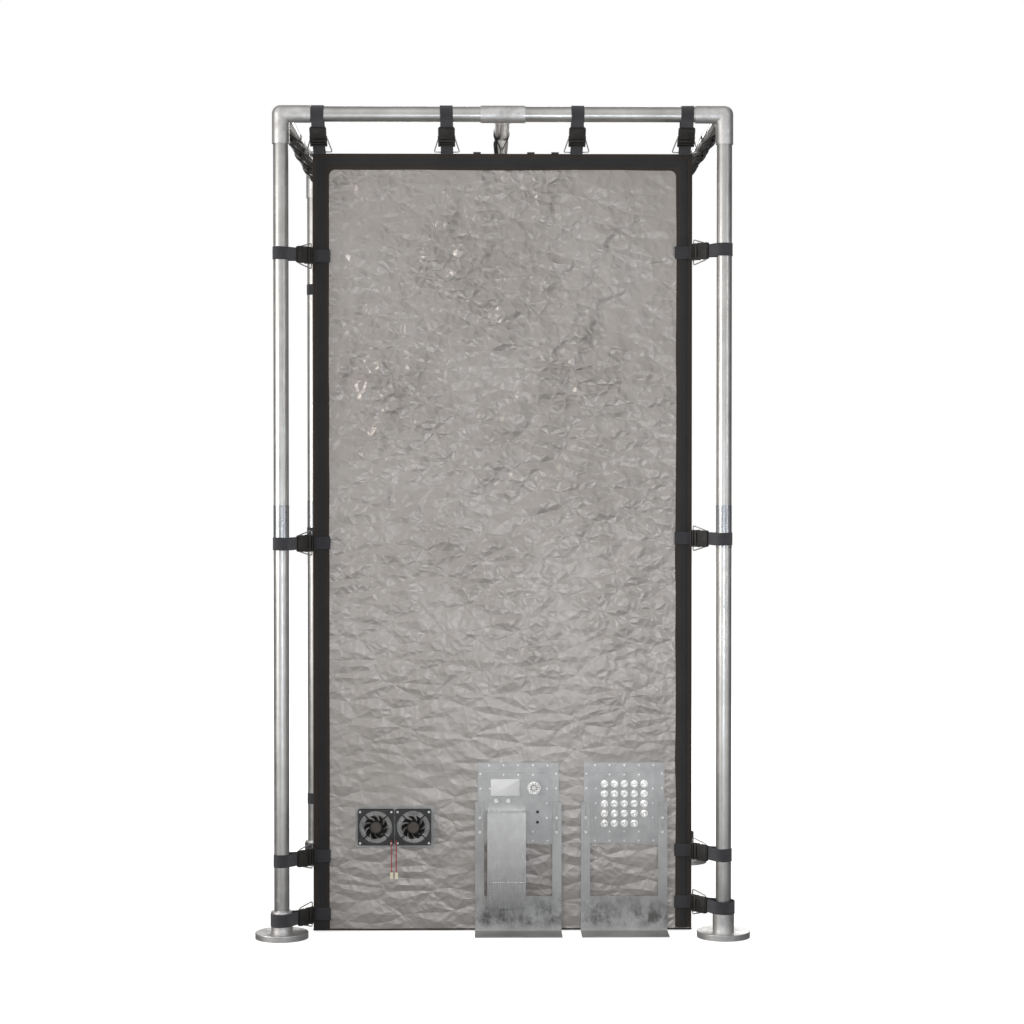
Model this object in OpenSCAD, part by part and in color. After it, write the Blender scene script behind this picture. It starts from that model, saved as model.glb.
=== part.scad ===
// Shielded test tent of conductive fabric, hung with straps inside a free-standing pipe frame.
// Millimetres. The origin is the centre of the footprint on the floor, the front faces -Y, +Z is up.

/* [Frame] */
// Distance between pole axes, left to right
frame_w = 1400; // [1380:1:1450]
// Distance between pole axes, front to back
frame_d = 1400; // [1380:1:1450]
// Overall height of the frame
frame_h = 2630; // [2600:1:2700]
// Outside diameter of the frame tube
pipe_d = 48.3; // [46:0.1:50]
// Wall thickness of the frame tube
pipe_wall = 3.2; // [2:0.1:4]
// Outside diameter of the elbows and tees
fitting_d = 55; // [54:0.5:58]
// Length of an elbow's or tee's leg from its centre
fitting_leg = 94; // [80:1:110]
// Half length of the sleeve of a tee
tee_half = 70.5; // [60:0.5:80]
// Lower end of the pole couplings
coupling_z0 = 1234; // [1150:1:1280]
// Upper end of the pole couplings
coupling_z1 = 1370; // [1320:1:1420]
// Diameter of a base flange
flange_d = 168; // [150:1:180]
// Thickness of a base flange
flange_t = 19; // [12:1:24]
// Diameter of a base flange's hub
hub_d = 68; // [64:1:74]
// Height of a base flange's hub
hub_h = 86; // [80:1:95]

/* [Tent] */
// Width of the tent
tent_w = 1210; // [1200:1:1216]
// Depth of the tent
tent_d = 1210; // [1200:1:1216]
// Height of the tent
tent_h = 2490; // [2470:1:2500]
// Thickness of the tent cloth
cloth_t = 3; // [2:0.5:4]
// Width of the dark edge binding
band_w = 52; // [44:1:60]
// Thickness of the edge binding
band_t = 2; // [1:0.5:2.5]
// Width of the door opening
door_w = 760; // [600:10:800]
// Bottom of the door opening
door_z0 = 60; // [40:5:100]
// Top of the door opening
door_z1 = 2050; // [1900:10:2100]

/* [Straps] */
// Width of the strap webbing
web_w = 40; // [36:1:42]
// Thickness of the strap webbing
web_t = 1.6; // [1.2:0.1:2]
// Length of a side-release buckle
buckle_l = 75; // [70:1:78]
// Width of a side-release buckle
buckle_w = 56; // [50:1:60]
// Thickness of a side-release buckle
buckle_t = 12; // [10:1:14]
// Wire diameter of the trapezoid rings
wire_d = 4; // [3:0.5:5]

/* [Fans] */
// Side of a fan housing
fan_size = 114; // [112:1:120]
// Distance between the fan centres
fan_pitch = 120; // [118:1:126]
// Thickness of a fan
fan_t = 25; // [20:1:32]
// Half distance between the fan's mounting holes
fan_hole = 50; // [48:0.5:52]
// Middle of the fan pair, left to right
fan_x = -346; // [-380:1:-320]
// Middle of the fan pair above the floor
fan_z = 338; // [300:1:400]
// Number of blades on a fan rotor
blade_count = 9; // [7:1:11]

/* [Panels] */
// Centre of the filter panel, left to right
filter_x = 50; // [40:1:70]
// Centre of the feed-through panel, left to right
coax_x = 390; // [370:1:400]
// Centre of both panels above the floor
panel_z = 413; // [400:1:420]
// Side of a panel's clamp frame
frame_side = 260; // [256:1:264]
// Side of a panel's plate
plate_side = 196; // [190:1:198]
// Width of a panel stand
stand_w = 278; // [277:1:284]
// Height of a stand's uprights
stand_h = 417; // [405:1:420]
// Width of a stand's upright
upright_w = 30; // [28:1:30]
// Height of a stand's closed lower sheet
apron_h = 114; // [90:1:130]
// Reach of a stand's foot in front of its sheet
foot_l = 100; // [80:1:110]
// Thickness of the panel sheet metal
sheet_t = 3; // [2:0.5:3]
// Upward travel of a panel in its stand's slots
panel_travel = 30; // [10:1:30]
// Distance between neighbouring coaxial connectors
coax_pitch = 31.8; // [30:0.1:33]

/* [Hidden] */

$fn = 48;
eps = 0.01;
binding_brown = [0.2, 0.18, 0.16];
webbing_grey = [0.22, 0.2, 0.24];

// Frame
pole_x = frame_w / 2;
pole_y = frame_d / 2;
pipe_r = pipe_d / 2;
pipe_ri = pipe_r - pipe_wall;
fit_gap = 0.05;
fitting_r = fitting_d / 2;
socket_r = pipe_r + fit_gap;
socket_stop = 28;
rail_z = frame_h - fitting_r;
hub_r = hub_d / 2;
hub_floor = 5;
coupling_r = pipe_r + 0.6;
spigot_r = pipe_ri - 2 * fit_gap;
spigot_wall = 3;
spigot_l = 60;
grub_r = 4;
grub_gap = 0.1;
grub_z = 30;
elbow_grub = 72;
tee_grub = 50;

// Tent
wall_x = tent_w / 2;
wall_y = tent_d / 2;
hem_z = cloth_t + 1;
hem_h = 6;
roof_tab_x = [-82, 91, 168];
roof_tab_w = 24;
band_corner_r = 18;
door_lap = 12;
door_gap = 1;
zip_w = 30;
zip_t = 1.2;
slider_rest_z = 90;

// Hangers: one strap loops round a tube and round a wire ring that a sewn tab holds on the tent's edge.
// In a hanger's own frame the tube's axis is Z, +X points at the tent's edge and +Y is the buckle's side.
loop_gap = 0.2;
ring_wide = 81;
ring_narrow = 51;
ring_reach = 54;
ring_standoff = 8;
tab_w = 38;
tab_t = 2;
tail_y = 5.8;
buckle_y = 7.4;
wire_r = wire_d / 2;
bead = 0.25;
edge_gap_x = pole_x - wall_x;
edge_gap_z = rail_z - tent_h;
corner_inset = sqrt(2) * band_t;
pole_reach = sqrt(2) * edge_gap_x;
rail_reach = sqrt(edge_gap_x * edge_gap_x + edge_gap_z * edge_gap_z);
rail_drop = atan2(edge_gap_z, edge_gap_x);
left_hanger_z = [58, 245, 1248, 2164];
right_hanger_z = [95, 261, 1263, 2177];
front_hanger_x = [-584, -178, 236, 582];
side_hanger_y = [-535, -180, 180, 535];
centre_hanger_y = [-290, 290];
pole_buckle_x = 50;
rail_buckle_x = 33;
centre_buckle_x = 27;
pole_tail = 52;

// Fans
vent_t = 2;
vent_w = 254;
vent_h = 132;
vent_cell = 12;
vent_rim = 12;
duct_r = 53;
blade_r = 51.5;
blade_t = 1.6;
fan_hub_r = 20;
fan_screw_r = 1.6;
fan_screw_head_r = 3.6;
motor_r = 19;
motor_t = 4;
shaft_r = 2;
lead_d = 3;
lead_side = 8;
lead_top = 298;
plug_size = [10, 6, 20];
// Routes of the fan leads, hanging from the clips on the housings
lead_left = [[-355, -635.5, 298], [-355, -635.5, 292], [-355, -635.5, 286], [-355, -635.5, 280],
    [-355, -635.5, 273], [-355, -635.5, 266], [-355, -635.5, 259], [-355, -635.5, 252],
    [-355, -635.5, 245], [-355, -635.5, 238], [-355, -635.5, 231], [-355, -635.5, 224],
    [-355, -635.5, 217], [-355, -635.5, 210], [-355, -635.5, 203], [-355, -635.5, 195]];
lead_right = [[-340, -635.5, 298], [-340, -635.5, 292], [-340, -635.5, 286], [-340, -635.5, 280],
    [-340, -635.5, 273], [-340, -635.5, 266], [-340, -635.5, 259], [-340, -635.5, 252],
    [-340, -635.5, 245], [-340, -635.5, 238], [-340, -635.5, 231], [-340, -635.5, 224],
    [-340, -635.5, 217], [-340, -635.5, 210], [-340, -635.5, 203], [-340, -635.5, 195]];

// Panels. Depths are measured forward from the tent's front face.
slide_gap = 0.3;
clamp_t = 4;
step_t = 2;
step_side = 216;
neck_side = 192;
window_side = 176;
aperture_side = 200;
aperture_low = 98;
aperture_high = neck_side / 2 + panel_travel + 2;
clamp_front = slide_gap + clamp_t;
plate_back = clamp_front + step_t;
plate_front = plate_back + sheet_t;
stand_back = clamp_front + slide_gap;
stand_front = stand_back + sheet_t;
slot_x = stand_w / 2 - upright_w / 2 - 1;
slot_w = 6;
bolt_r = 2.5;
bolt_z = [320, 366];
slot_z0 = bolt_z[0] - 5;
slot_z1 = bolt_z[1] + panel_travel + 7;
bolt_head_r = 4.75;
bolt_head_t = 2.6;
screw_r = 2.9;
screw_t = 1.4;
screw_pitch = 47;
outer_screw = 121.5;
inner_screw = 91.5;
coax_r = 7.94;
coax_l = 16;
coax_flange_r = 12.2;
coax_flange_t = 4;
coax_socket_r = 4.3;
coax_socket_l = 9;
coax_pin_r = 1.6;
coax_nut_r = 11;
coax_drop = 1.5;
cover_place = [-42, 51, 0];
cover_size = [93, 54];
cover_t = 4;
box_x0 = -99.5;
box_w = 123;
box_d = 65;
box_z0 = 86;
box_z1 = 390;
box_wall = 2;
box_seam_z = 170;
box_entry_r = 10;

// Four corners, [x sign, y sign], and the turn that points an elbow's legs inward there
front_left = [-1, -1];
front_right = [1, -1];
rear_left = [-1, 1];
rear_right = [1, 1];
corners = [front_left, front_right, rear_left, rear_right];

// ---------------------------------------------------------------- helpers

module at_pole(c) {
    translate([c[0] * pole_x, c[1] * pole_y, 0]) children();
}

// Mirrors a piece made at the front right to the corner c
module to_corner(c) {
    mirror([c[0] < 0 ? 1 : 0, 0, 0])
        mirror([0, c[1] > 0 ? 1 : 0, 0])
            children();
}

// Places what is drawn in X-Z with its thickness towards -Y on the tent's front, at depth d
module on_front(x, z, d) {
    translate([x, -wall_y - d, z]) rotate([90, 0, 0]) children();
}

module tube(r, ri, l) {
    difference() {
        cylinder(r = r, h = l);
        translate([0, 0, -1]) cylinder(r = ri, h = l + 2);
    }
}

module plate_box(lo, hi) {
    translate(lo) cube(hi - lo);
}

module rounded_square(w, h, r) {
    union() {
        translate([-w / 2 + r, -h / 2]) square([w - 2 * r, h]);
        translate([-w / 2, -h / 2 + r]) square([w, h - 2 * r]);
        for (sx = [-1, 1], sy = [-1, 1])
            translate([sx * (w / 2 - r), sy * (h / 2 - r)]) circle(r = r);
    }
}

// ---------------------------------------------------------------- frame

module flange_profile() {
    edge = 2;
    hub_edge = 4;
    difference() {
        union() {
            square([flange_d / 2 - edge, flange_t]);
            square([flange_d / 2, flange_t - edge]);
            translate([flange_d / 2 - edge, flange_t - edge]) circle(r = edge);
            square([hub_r, hub_h - hub_edge]);
            square([hub_r - hub_edge, hub_h]);
            translate([hub_r - hub_edge, hub_h - hub_edge]) circle(r = hub_edge);
        }
        translate([-1, hub_floor]) square([socket_r + 1, hub_h]);
    }
}

module base_flange() {
    difference() {
        rotate_extrude($fn = 96) flange_profile();
        translate([0, 0, grub_z]) grub_hole(hub_r);
    }
}

// A grub screw's radial hole towards the middle of the frame, as seen at the front right
module grub_hole(r) {
    rotate([0, 90, 135]) translate([0, 0, pipe_r - 2]) cylinder(r = grub_r + grub_gap, h = r - pipe_r + 6);
}

module grub_screw(r) {
    hex_r = 2.2;
    hex_depth = 2;
    l = r - socket_r - 0.2;
    rotate([0, 90, 135]) translate([0, 0, socket_r]) difference() {
        cylinder(r = grub_r, h = l);
        translate([0, 0, l - hex_depth]) cylinder(r = hex_r, h = hex_depth + 1, $fn = 6);
    }
}

module base_flanges() {
    color("silver") for (c = corners) to_corner(c) at_pole(front_right) base_flange();
}

module lower_pole(c) {
    color("gainsboro") at_pole(c) translate([0, 0, hub_floor]) tube(pipe_r, pipe_ri, coupling_z0 - hub_floor);
}

module upper_pole(c) {
    color("gainsboro") at_pole(c) translate([0, 0, coupling_z1])
        tube(pipe_r, pipe_ri, rail_z - socket_stop - coupling_z1);
}

module pole_coupling() {
    difference() {
        union() {
            translate([0, 0, coupling_z0]) cylinder(r = coupling_r, h = coupling_z1 - coupling_z0);
            translate([0, 0, coupling_z0 - spigot_l])
                cylinder(r = spigot_r, h = coupling_z1 - coupling_z0 + 2 * spigot_l);
        }
        translate([0, 0, coupling_z0 - spigot_l - 1])
            cylinder(r = spigot_r - spigot_wall, h = coupling_z1 - coupling_z0 + 2 * spigot_l + 2);
    }
}

module pole_couplings() {
    color("silver") for (c = corners) at_pole(c) pole_coupling();
}

// A three-way elbow at the front right: legs down, left and back
module corner_elbow() {
    socket_l = fitting_leg - socket_stop + 1;
    difference() {
        union() {
            sphere(r = fitting_r);
            mirror([0, 0, 1]) cylinder(r = fitting_r, h = fitting_leg);
            rotate([0, -90, 0]) cylinder(r = fitting_r, h = fitting_leg);
            rotate([-90, 0, 0]) cylinder(r = fitting_r, h = fitting_leg);
        }
        translate([0, 0, -fitting_leg - 1]) cylinder(r = socket_r, h = socket_l);
        translate([-fitting_leg - 1, 0, 0]) rotate([0, 90, 0]) cylinder(r = socket_r, h = socket_l);
        translate([0, fitting_leg + 1, 0]) rotate([90, 0, 0]) cylinder(r = socket_r, h = socket_l);
        elbow_grubs() grub_hole(fitting_r);
    }
}

// The places of an elbow's grub screws: one on each leg
module elbow_grubs() {
    translate([0, 0, -elbow_grub]) children();
    translate([-elbow_grub, 0, 0]) rotate([0, 90, 0]) children();
    translate([0, elbow_grub, 0]) rotate([90, 0, 0]) children();
}

module corner_elbow_at(c) {
    color("silver") to_corner(c) translate([pole_x, -pole_y, rail_z]) corner_elbow();
}

module rail_x(x0, x1, y) {
    color("gainsboro") translate([x0, y, rail_z]) rotate([0, 90, 0]) tube(pipe_r, pipe_ri, x1 - x0);
}

module rail_y(x) {
    l = frame_d - 2 * socket_stop;
    color("gainsboro") translate([x, -l / 2, rail_z]) rotate([-90, 0, 0]) tube(pipe_r, pipe_ri, l);
}

// The tee of the front rail: the sleeve lies along X, the leg points back
module rail_tee() {
    difference() {
        union() {
            translate([-tee_half, 0, 0]) rotate([0, 90, 0]) cylinder(r = fitting_r, h = 2 * tee_half);
            rotate([-90, 0, 0]) cylinder(r = fitting_r - 0.5, h = fitting_leg);
        }
        translate([-tee_half - 1, 0, 0]) rotate([0, 90, 0]) cylinder(r = socket_r, h = 2 * tee_half + 2);
        translate([0, fitting_leg + 1, 0]) rotate([90, 0, 0])
            cylinder(r = socket_r, h = fitting_leg - socket_stop + 1);
        tee_grubs() grub_hole(fitting_r);
    }
}

module tee_grubs() {
    for (s = [-1, 1]) translate([s * tee_grub, 0, 0]) rotate([0, 90, 0]) rotate([0, 0, -90]) children();
    translate([0, elbow_grub, 0]) rotate([90, 0, 0]) children();
}

module rail_tees() {
    color("silver") {
        translate([0, -pole_y, rail_z]) rail_tee();
        mirror([0, 1, 0]) translate([0, -pole_y, rail_z]) rail_tee();
    }
}

module grub_screws() {
    color("dimgray") {
        for (c = corners) to_corner(c) {
            at_pole(front_right) translate([0, 0, grub_z]) grub_screw(hub_r);
            translate([pole_x, -pole_y, rail_z]) elbow_grubs() grub_screw(fitting_r);
        }
        translate([0, -pole_y, rail_z]) tee_grubs() grub_screw(fitting_r);
        mirror([0, 1, 0]) translate([0, -pole_y, rail_z]) tee_grubs() grub_screw(fitting_r);
    }
}

// ---------------------------------------------------------------- tent

module tent_floor() {
    color("dimgray") plate_box([-wall_x, -wall_y, 0], [wall_x, wall_y, cloth_t]);
}

module tent_front_wall() {
    color("silver") difference() {
        plate_box([-wall_x, -wall_y, cloth_t], [wall_x, -wall_y + cloth_t, tent_h - cloth_t]);
        for (x = [filter_x, coax_x])
            plate_box([x - aperture_side / 2, -wall_y - 1, panel_z - aperture_low],
                      [x + aperture_side / 2, -wall_y + cloth_t + 1, panel_z + aperture_high]);
        plate_box([fan_x - vent_w / 2 + vent_rim, -wall_y - 1, fan_z - vent_h / 2 + vent_rim],
                  [fan_x + vent_w / 2 - vent_rim, -wall_y + cloth_t + 1, fan_z + vent_h / 2 - vent_rim]);
    }
}

module tent_side_wall(s) {
    color("silver") plate_box([s < 0 ? -wall_x : wall_x - cloth_t, -wall_y + cloth_t, cloth_t],
                              [s < 0 ? -wall_x + cloth_t : wall_x, wall_y - cloth_t, tent_h - cloth_t]);
}

module tent_roof() {
    color("silver") plate_box([-wall_x, -wall_y, tent_h - cloth_t], [wall_x, wall_y, tent_h]);
}

module tent_rear_wall() {
    color("silver") difference() {
        plate_box([-wall_x, wall_y - cloth_t, cloth_t], [wall_x, wall_y, tent_h - cloth_t]);
        plate_box([-door_w / 2, wall_y - cloth_t - 1, door_z0], [door_w / 2, wall_y + 1, door_z1]);
    }
}

module tent_door() {
    y0 = wall_y + door_gap;
    color("silver") plate_box([-door_w / 2 - door_lap, y0, door_z0 - door_lap],
                              [door_w / 2 + door_lap, y0 + cloth_t, door_z1 + door_lap]);
}

module door_zip_tape() {
    y0 = wall_y + door_gap + cloth_t;
    x1 = door_w / 2 + door_lap;
    z0 = door_z0 - door_lap;
    z1 = door_z1 + door_lap;
    color("black") difference() {
        plate_box([-x1, y0, z0], [x1, y0 + zip_t, z1]);
        plate_box([-x1 - 1, y0 - 1, z0 + zip_w], [x1 - zip_w, y0 + zip_t + 1, z1 - zip_w]);
    }
}

module zip_slider() {
    y0 = wall_y + door_gap + cloth_t + zip_t + 0.3;
    x = door_w / 2 + door_lap - zip_w / 2;
    body_t = 7;
    pull_w = 14;
    pull_l = 44;
    pull_t = 2;
    color("dimgray") {
        translate([x, y0, slider_rest_z]) rotate([-90, 0, 0]) linear_extrude(height = body_t)
            rounded_square(16, 30, 5);
        difference() {
            translate([x - pull_w / 2, y0 + body_t, slider_rest_z - pull_l + 2])
                cube([pull_w, pull_t, pull_l]);
            translate([x, y0 + body_t - 1, slider_rest_z - 34]) rotate([-90, 0, 0])
                cylinder(r = 4, h = pull_t + 2);
        }
    }
}

// The dark binding: strips on both sides of every upright edge and every roof edge, and a hem round the foot
module edge_bindings() {
    x = wall_x + band_t;
    y = wall_y + band_t;
    inset_x = wall_x - band_w;
    inset_y = wall_y - band_w;
    color(binding_brown) difference() {
        plate_box([-x, -y, hem_z], [x, y, tent_h + band_t]);
        plate_box([-wall_x, -wall_y, 0], [wall_x, wall_y, tent_h]);
        translate([0, y + 1, 0]) rotate([90, 0, 0]) linear_extrude(height = 2 * y + 2) band_window(inset_x);
        rotate([0, 0, 90]) translate([0, x + 1, 0]) rotate([90, 0, 0]) linear_extrude(height = 2 * x + 2)
            band_window(inset_y);
        plate_box([-inset_x, -inset_y, tent_h - 1], [inset_x, inset_y, tent_h + band_t + 1]);
    }
}

// The opening of the binding on one face, with rounded upper corners. x: half its width.
module band_window(x) {
    z0 = hem_z + hem_h;
    z1 = tent_h - band_w;
    union() {
        translate([-x, z0]) square([2 * x, z1 - z0 - band_corner_r]);
        translate([-x + band_corner_r, z0]) square([2 * (x - band_corner_r), z1 - z0]);
        for (s = [-1, 1]) translate([s * (x - band_corner_r), z1 - band_corner_r]) circle(r = band_corner_r);
    }
}

// Short tabs of hook tape on the roof's front edge
module roof_tabs() {
    color([0.1, 0.1, 0.1]) for (x = roof_tab_x)
        translate([x - roof_tab_w / 2, -wall_y - band_t, tent_h + band_t])
            cube([roof_tab_w, band_w / 2, band_t]);
}

// ---------------------------------------------------------------- hangers

function unit(v) = v / norm(v);

// The outline of webbing seen on edge, with its middle along a path
function web_outline(path) =
    let (last = len(path) - 1,
         normals = [for (i = [0:last])
             let (d = unit(path[min(i + 1, last)] - path[i == last ? last - 1 : i])
                    + unit(path[max(i, 1)] - path[max(i, 1) - 1]))
             unit([-d[1], d[0]]) * web_t / 2])
    concat([for (i = [0:last]) path[i] + normals[i]], [for (i = [last:-1:0]) path[i] - normals[i]]);

function arc_points(x, r, a0, a1, steps) =
    [for (i = [0:steps]) let (a = a0 + (a1 - a0) * i / steps) [x + r * cos(a), r * sin(a)]];

// The shape that a tight belt round two circles encloses
function belt_outline(r0, r1, d) =
    let (a = acos((r0 - r1) / d))
    concat(arc_points(0, r0, a, 360 - a, 30), arc_points(d, r1, -a, a, 10));

// reach: tube axis to the tent's edge. r: radius of what the strap goes round. tail: length of the loose
// end along the tent's face, which leaves the tube's line at the angle turn.
module strap(reach, r, tail, turn) {
    bar = reach - ring_standoff - ring_reach;
    ri = r + loop_gap;
    bi = wire_r + loop_gap;
    bend = [reach - 3, tail_y];
    start = [[bar, bi + web_t * 0.7], [bar + 14, tail_y], bend];
    translate([0, 0, -web_w / 2]) linear_extrude(height = web_w) {
        difference() {
            polygon(belt_outline(ri + web_t, bi + web_t, bar));
            polygon(belt_outline(ri, bi, bar));
        }
        polygon(web_outline(tail > 0 ? concat(start, [bend + tail * [cos(turn), sin(turn)]]) : start));
    }
}

// Height of the strap's buckle-side face above the tube's line, at x along it
function face_y(reach, r, x) =
    let (bar = reach - ring_standoff - ring_reach,
         ro = r + loop_gap + web_t,
         s = (ro - wire_r - loop_gap - web_t) / bar)
    ro / sqrt(1 - s * s) - x * s / sqrt(1 - s * s);

module buckle(reach, r, x0) {
    y0 = max(face_y(reach, r, x0) + 0.6, buckle_y);
    a = atan2(buckle_y - y0, buckle_l);
    w0 = buckle_w / 2 - 3;
    w1 = buckle_w / 2;
    slot = [4, web_w + 2];
    translate([x0, y0, 0]) rotate([0, 0, a]) translate([0, buckle_t, 0]) rotate([90, 0, 0])
        linear_extrude(height = buckle_t) difference() {
            polygon([[0, -w0], [22, -w0], [26, -w1 + 1], [48, -w1], [52, -w1 + 4], [buckle_l, -w1 + 1],
                     [buckle_l, w1 - 1], [52, w1 - 4], [48, w1], [26, w1 - 1], [22, w0], [0, w0]]);
            for (x = [5, buckle_l - 16, buckle_l - 8]) translate([x, -web_w / 2 - 1]) square(slot);
        }
}

// A straight length of wire with a welded bead at its start
module wire(a, b) {
    v = b - a;
    translate(a) rotate([0, 90 - asin(v[2] / norm(v)), atan2(v[1], v[0])])
        cylinder(r = wire_r, h = norm(v), $fn = 24);
    translate(a) sphere(r = wire_r + bead, $fn = 24);
}

module ring(reach) {
    x1 = reach - ring_standoff;
    x0 = x1 - ring_reach;
    p = [[x0, 0, -ring_narrow / 2], [x0, 0, ring_narrow / 2],
         [x1, 0, ring_wide / 2], [x1, 0, -ring_wide / 2]];
    for (i = [0:3]) wire(p[i], p[(i + 1) % 4]);
}

// inset: how far the tab ends in front of the cloth's own edge, on top of the binding
module ring_tab(reach, inset) {
    x1 = reach - ring_standoff;
    ri = wire_r + 0.3;
    translate([0, 0, -tab_w / 2]) linear_extrude(height = tab_w) difference() {
        union() {
            translate([x1, 0]) circle(r = ri + tab_t);
            translate([x1, -tab_t]) square([ring_standoff - inset, 2 * tab_t]);
        }
        translate([x1, 0]) circle(r = ri);
    }
}

// Turns a hanger's frame to its places on the pole at corner c, pointing at the tent's upright edge.
// Sets $wrap_r, the radius of what the strap goes round there.
module pole_hangers() {
    for (c = corners) to_corner(c) for (z = c[0] < 0 ? left_hanger_z : right_hanger_z) {
        $wrap_r = wrap_r(z);
        at_pole(front_right) translate([0, 0, z]) rotate([0, 0, 135]) children();
    }
}

function wrap_r(z) = z - web_w / 2 < hub_h ? hub_r : z > coupling_z0 && z < coupling_z1 ? coupling_r : pipe_r;

// Turns a hanger's frame to its places on the four outer rails, pointing at the roof's edge
module rail_hangers() {
    for (turn = [0, 180]) rotate([0, 0, turn]) {
        for (x = front_hanger_x) front_hanger(turn == 0 ? x : -x) children();
        rotate([0, 0, 90]) for (x = side_hanger_y) front_hanger(x) children();
    }
}

module front_hanger(x) {
    translate([x, -pole_y, rail_z]) rotate([-rail_drop, 0, 0]) rotate([-90, 0, 90]) children();
}

module centre_hangers() {
    for (y = centre_hanger_y) translate([0, y, rail_z]) rotate([0, 90, 90]) children();
}

module pole_straps() {
    color(webbing_grey) pole_hangers() strap(pole_reach, $wrap_r, pole_tail, 45);
}

module rail_straps() {
    color(webbing_grey) {
        rail_hangers() strap(rail_reach, pipe_r, 0, 0);
        centre_hangers() strap(edge_gap_z, pipe_r, 0, 0);
    }
}

module strap_buckles() {
    color([0.15, 0.14, 0.13]) {
        pole_hangers() buckle(pole_reach, $wrap_r, pole_buckle_x);
        rail_hangers() buckle(rail_reach, pipe_r, rail_buckle_x);
        centre_hangers() buckle(edge_gap_z, pipe_r, centre_buckle_x);
    }
}

module strap_rings() {
    color("lightgray") {
        pole_hangers() ring(pole_reach);
        rail_hangers() ring(rail_reach);
        centre_hangers() ring(edge_gap_z);
    }
}

module ring_tabs() {
    color(binding_brown) {
        pole_hangers() ring_tab(pole_reach, corner_inset);
        rail_hangers() ring_tab(rail_reach, corner_inset);
        centre_hangers() ring_tab(edge_gap_z, 0);
    }
}

// ---------------------------------------------------------------- fans

module fan_centres() {
    for (s = [-1, 1]) translate([s * fan_pitch / 2, 0]) children();
}

module fan_holes(r) {
    for (sx = [-1, 1], sy = [-1, 1]) translate([sx * fan_hole, sy * fan_hole]) circle(r = r);
}

// A patch of hexagonal cells inside the fan's duct
module vent_cells() {
    rows = 4;
    for (i = [-rows:rows], j = [-rows:rows]) {
        x = (i + (abs(j) % 2) / 2) * vent_cell;
        y = j * vent_cell * sqrt(3) / 2;
        if (norm([x, y]) < duct_r - 8) translate([x, y]) rotate(30) circle(r = vent_cell / 2 + 0.2, $fn = 6);
    }
}

module fan_vent_plate() {
    color("darkgray") on_front(fan_x, fan_z, 0) linear_extrude(height = vent_t) difference() {
        rounded_square(vent_w, vent_h, 6);
        fan_centres() {
            vent_cells();
            fan_holes(fan_screw_r + 0.1);
        }
    }
}

module fan_housing(s) {
    flange = 4;
    clip_x = s < 0 ? lead_left[0][0] : lead_right[0][0];
    color([0.13, 0.12, 0.12]) {
        on_front(fan_x + s * fan_pitch / 2, fan_z, vent_t) {
            difference() {
                union() {
                    linear_extrude(height = flange) rounded_square(fan_size, fan_size, 6);
                    translate([0, 0, fan_t - flange]) linear_extrude(height = flange)
                        rounded_square(fan_size, fan_size, 6);
                    cylinder(r = duct_r + 2, h = fan_t);
                }
                translate([0, 0, -1]) cylinder(r = duct_r, h = fan_t + 2, $fn = 96);
                translate([0, 0, -1]) linear_extrude(height = fan_t + 2) fan_holes(fan_screw_r + 0.55);
            }
            // Motor seat on four struts, and the shaft that carries the rotor
            cylinder(r = motor_r, h = motor_t);
            for (a = [45:90:315]) rotate([0, 0, a]) translate([motor_r - 2, -2, 0])
                cube([duct_r - motor_r + 3, 4, 3]);
            cylinder(r = shaft_r, h = fan_t - 7);
        }
        // Clip that holds the lead where it leaves the housing
        on_front(clip_x, lead_top, vent_t + fan_t) translate([-3, 0, 0]) cube([6, 6, 5.5]);
    }
}

// A curved blade on edge, seen along its own radius, swept out from the hub and trimmed to the tip circle
module fan_blade(h) {
    sweep_r = 34;
    intersection() {
        translate([0, 0, -h / 2]) tube(blade_r, fan_hub_r - 1, h);
        rotate([0, 42, 0]) translate([0, sweep_r, -h]) rotate([0, 0, -90]) difference() {
            cylinder(r = sweep_r + blade_t / 2, h = 2 * h);
            translate([0, 0, -1]) cylinder(r = sweep_r - blade_t / 2, h = 2 * h + 2);
        }
        translate([0, -8, -h]) cube([blade_r, 70, 2 * h]);
    }
}

module fan_rotor(s) {
    z0 = motor_t + 1;
    h = fan_t - z0 - 2;
    color([0.16, 0.15, 0.15]) on_front(fan_x + s * fan_pitch / 2, fan_z, vent_t) {
        difference() {
            translate([0, 0, z0]) cylinder(r = fan_hub_r, h = h);
            translate([0, 0, z0 - 1]) cylinder(r = shaft_r + 0.05, h = fan_t - 6.8 - z0 + 1);
        }
        for (i = [0:blade_count - 1]) rotate([0, 0, i * 360 / blade_count])
            translate([0, 0, z0 + h / 2]) fan_blade(h - 2);
    }
}

module fan_screws() {
    color("gainsboro") on_front(fan_x, fan_z, vent_t + fan_t) fan_centres()
        for (sx = [-1, 1], sy = [-1, 1]) translate([sx * fan_hole, sy * fan_hole, 0]) {
            cylinder(r = fan_screw_head_r, h = screw_t);
            translate([0, 0, -fan_t - vent_t + 0.5]) cylinder(r = fan_screw_r, h = fan_t + vent_t);
        }
}

// A round tube through a list of points that run downward
module swept_tube(path, d, sides) {
    n = len(path);
    ring_at = function (p) [for (k = [0:sides - 1])
        [p[0] + d / 2 * cos(k * 360 / sides), p[1] + d / 2 * sin(k * 360 / sides), p[2]]];
    points = [for (p = path) each ring_at(p)];
    wall = [for (i = [0:n - 2], k = [0:sides - 1])
        [i * sides + k, i * sides + (k + 1) % sides, (i + 1) * sides + (k + 1) % sides, (i + 1) * sides + k]];
    top = [for (k = [sides - 1:-1:0]) k];
    bottom = [for (k = [0:sides - 1]) (n - 1) * sides + k];
    polyhedron(points, concat(wall, [top], [bottom]), 4);
}

module fan_lead(path) {
    color("firebrick") swept_tube(path, lead_d, lead_side);
}

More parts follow.
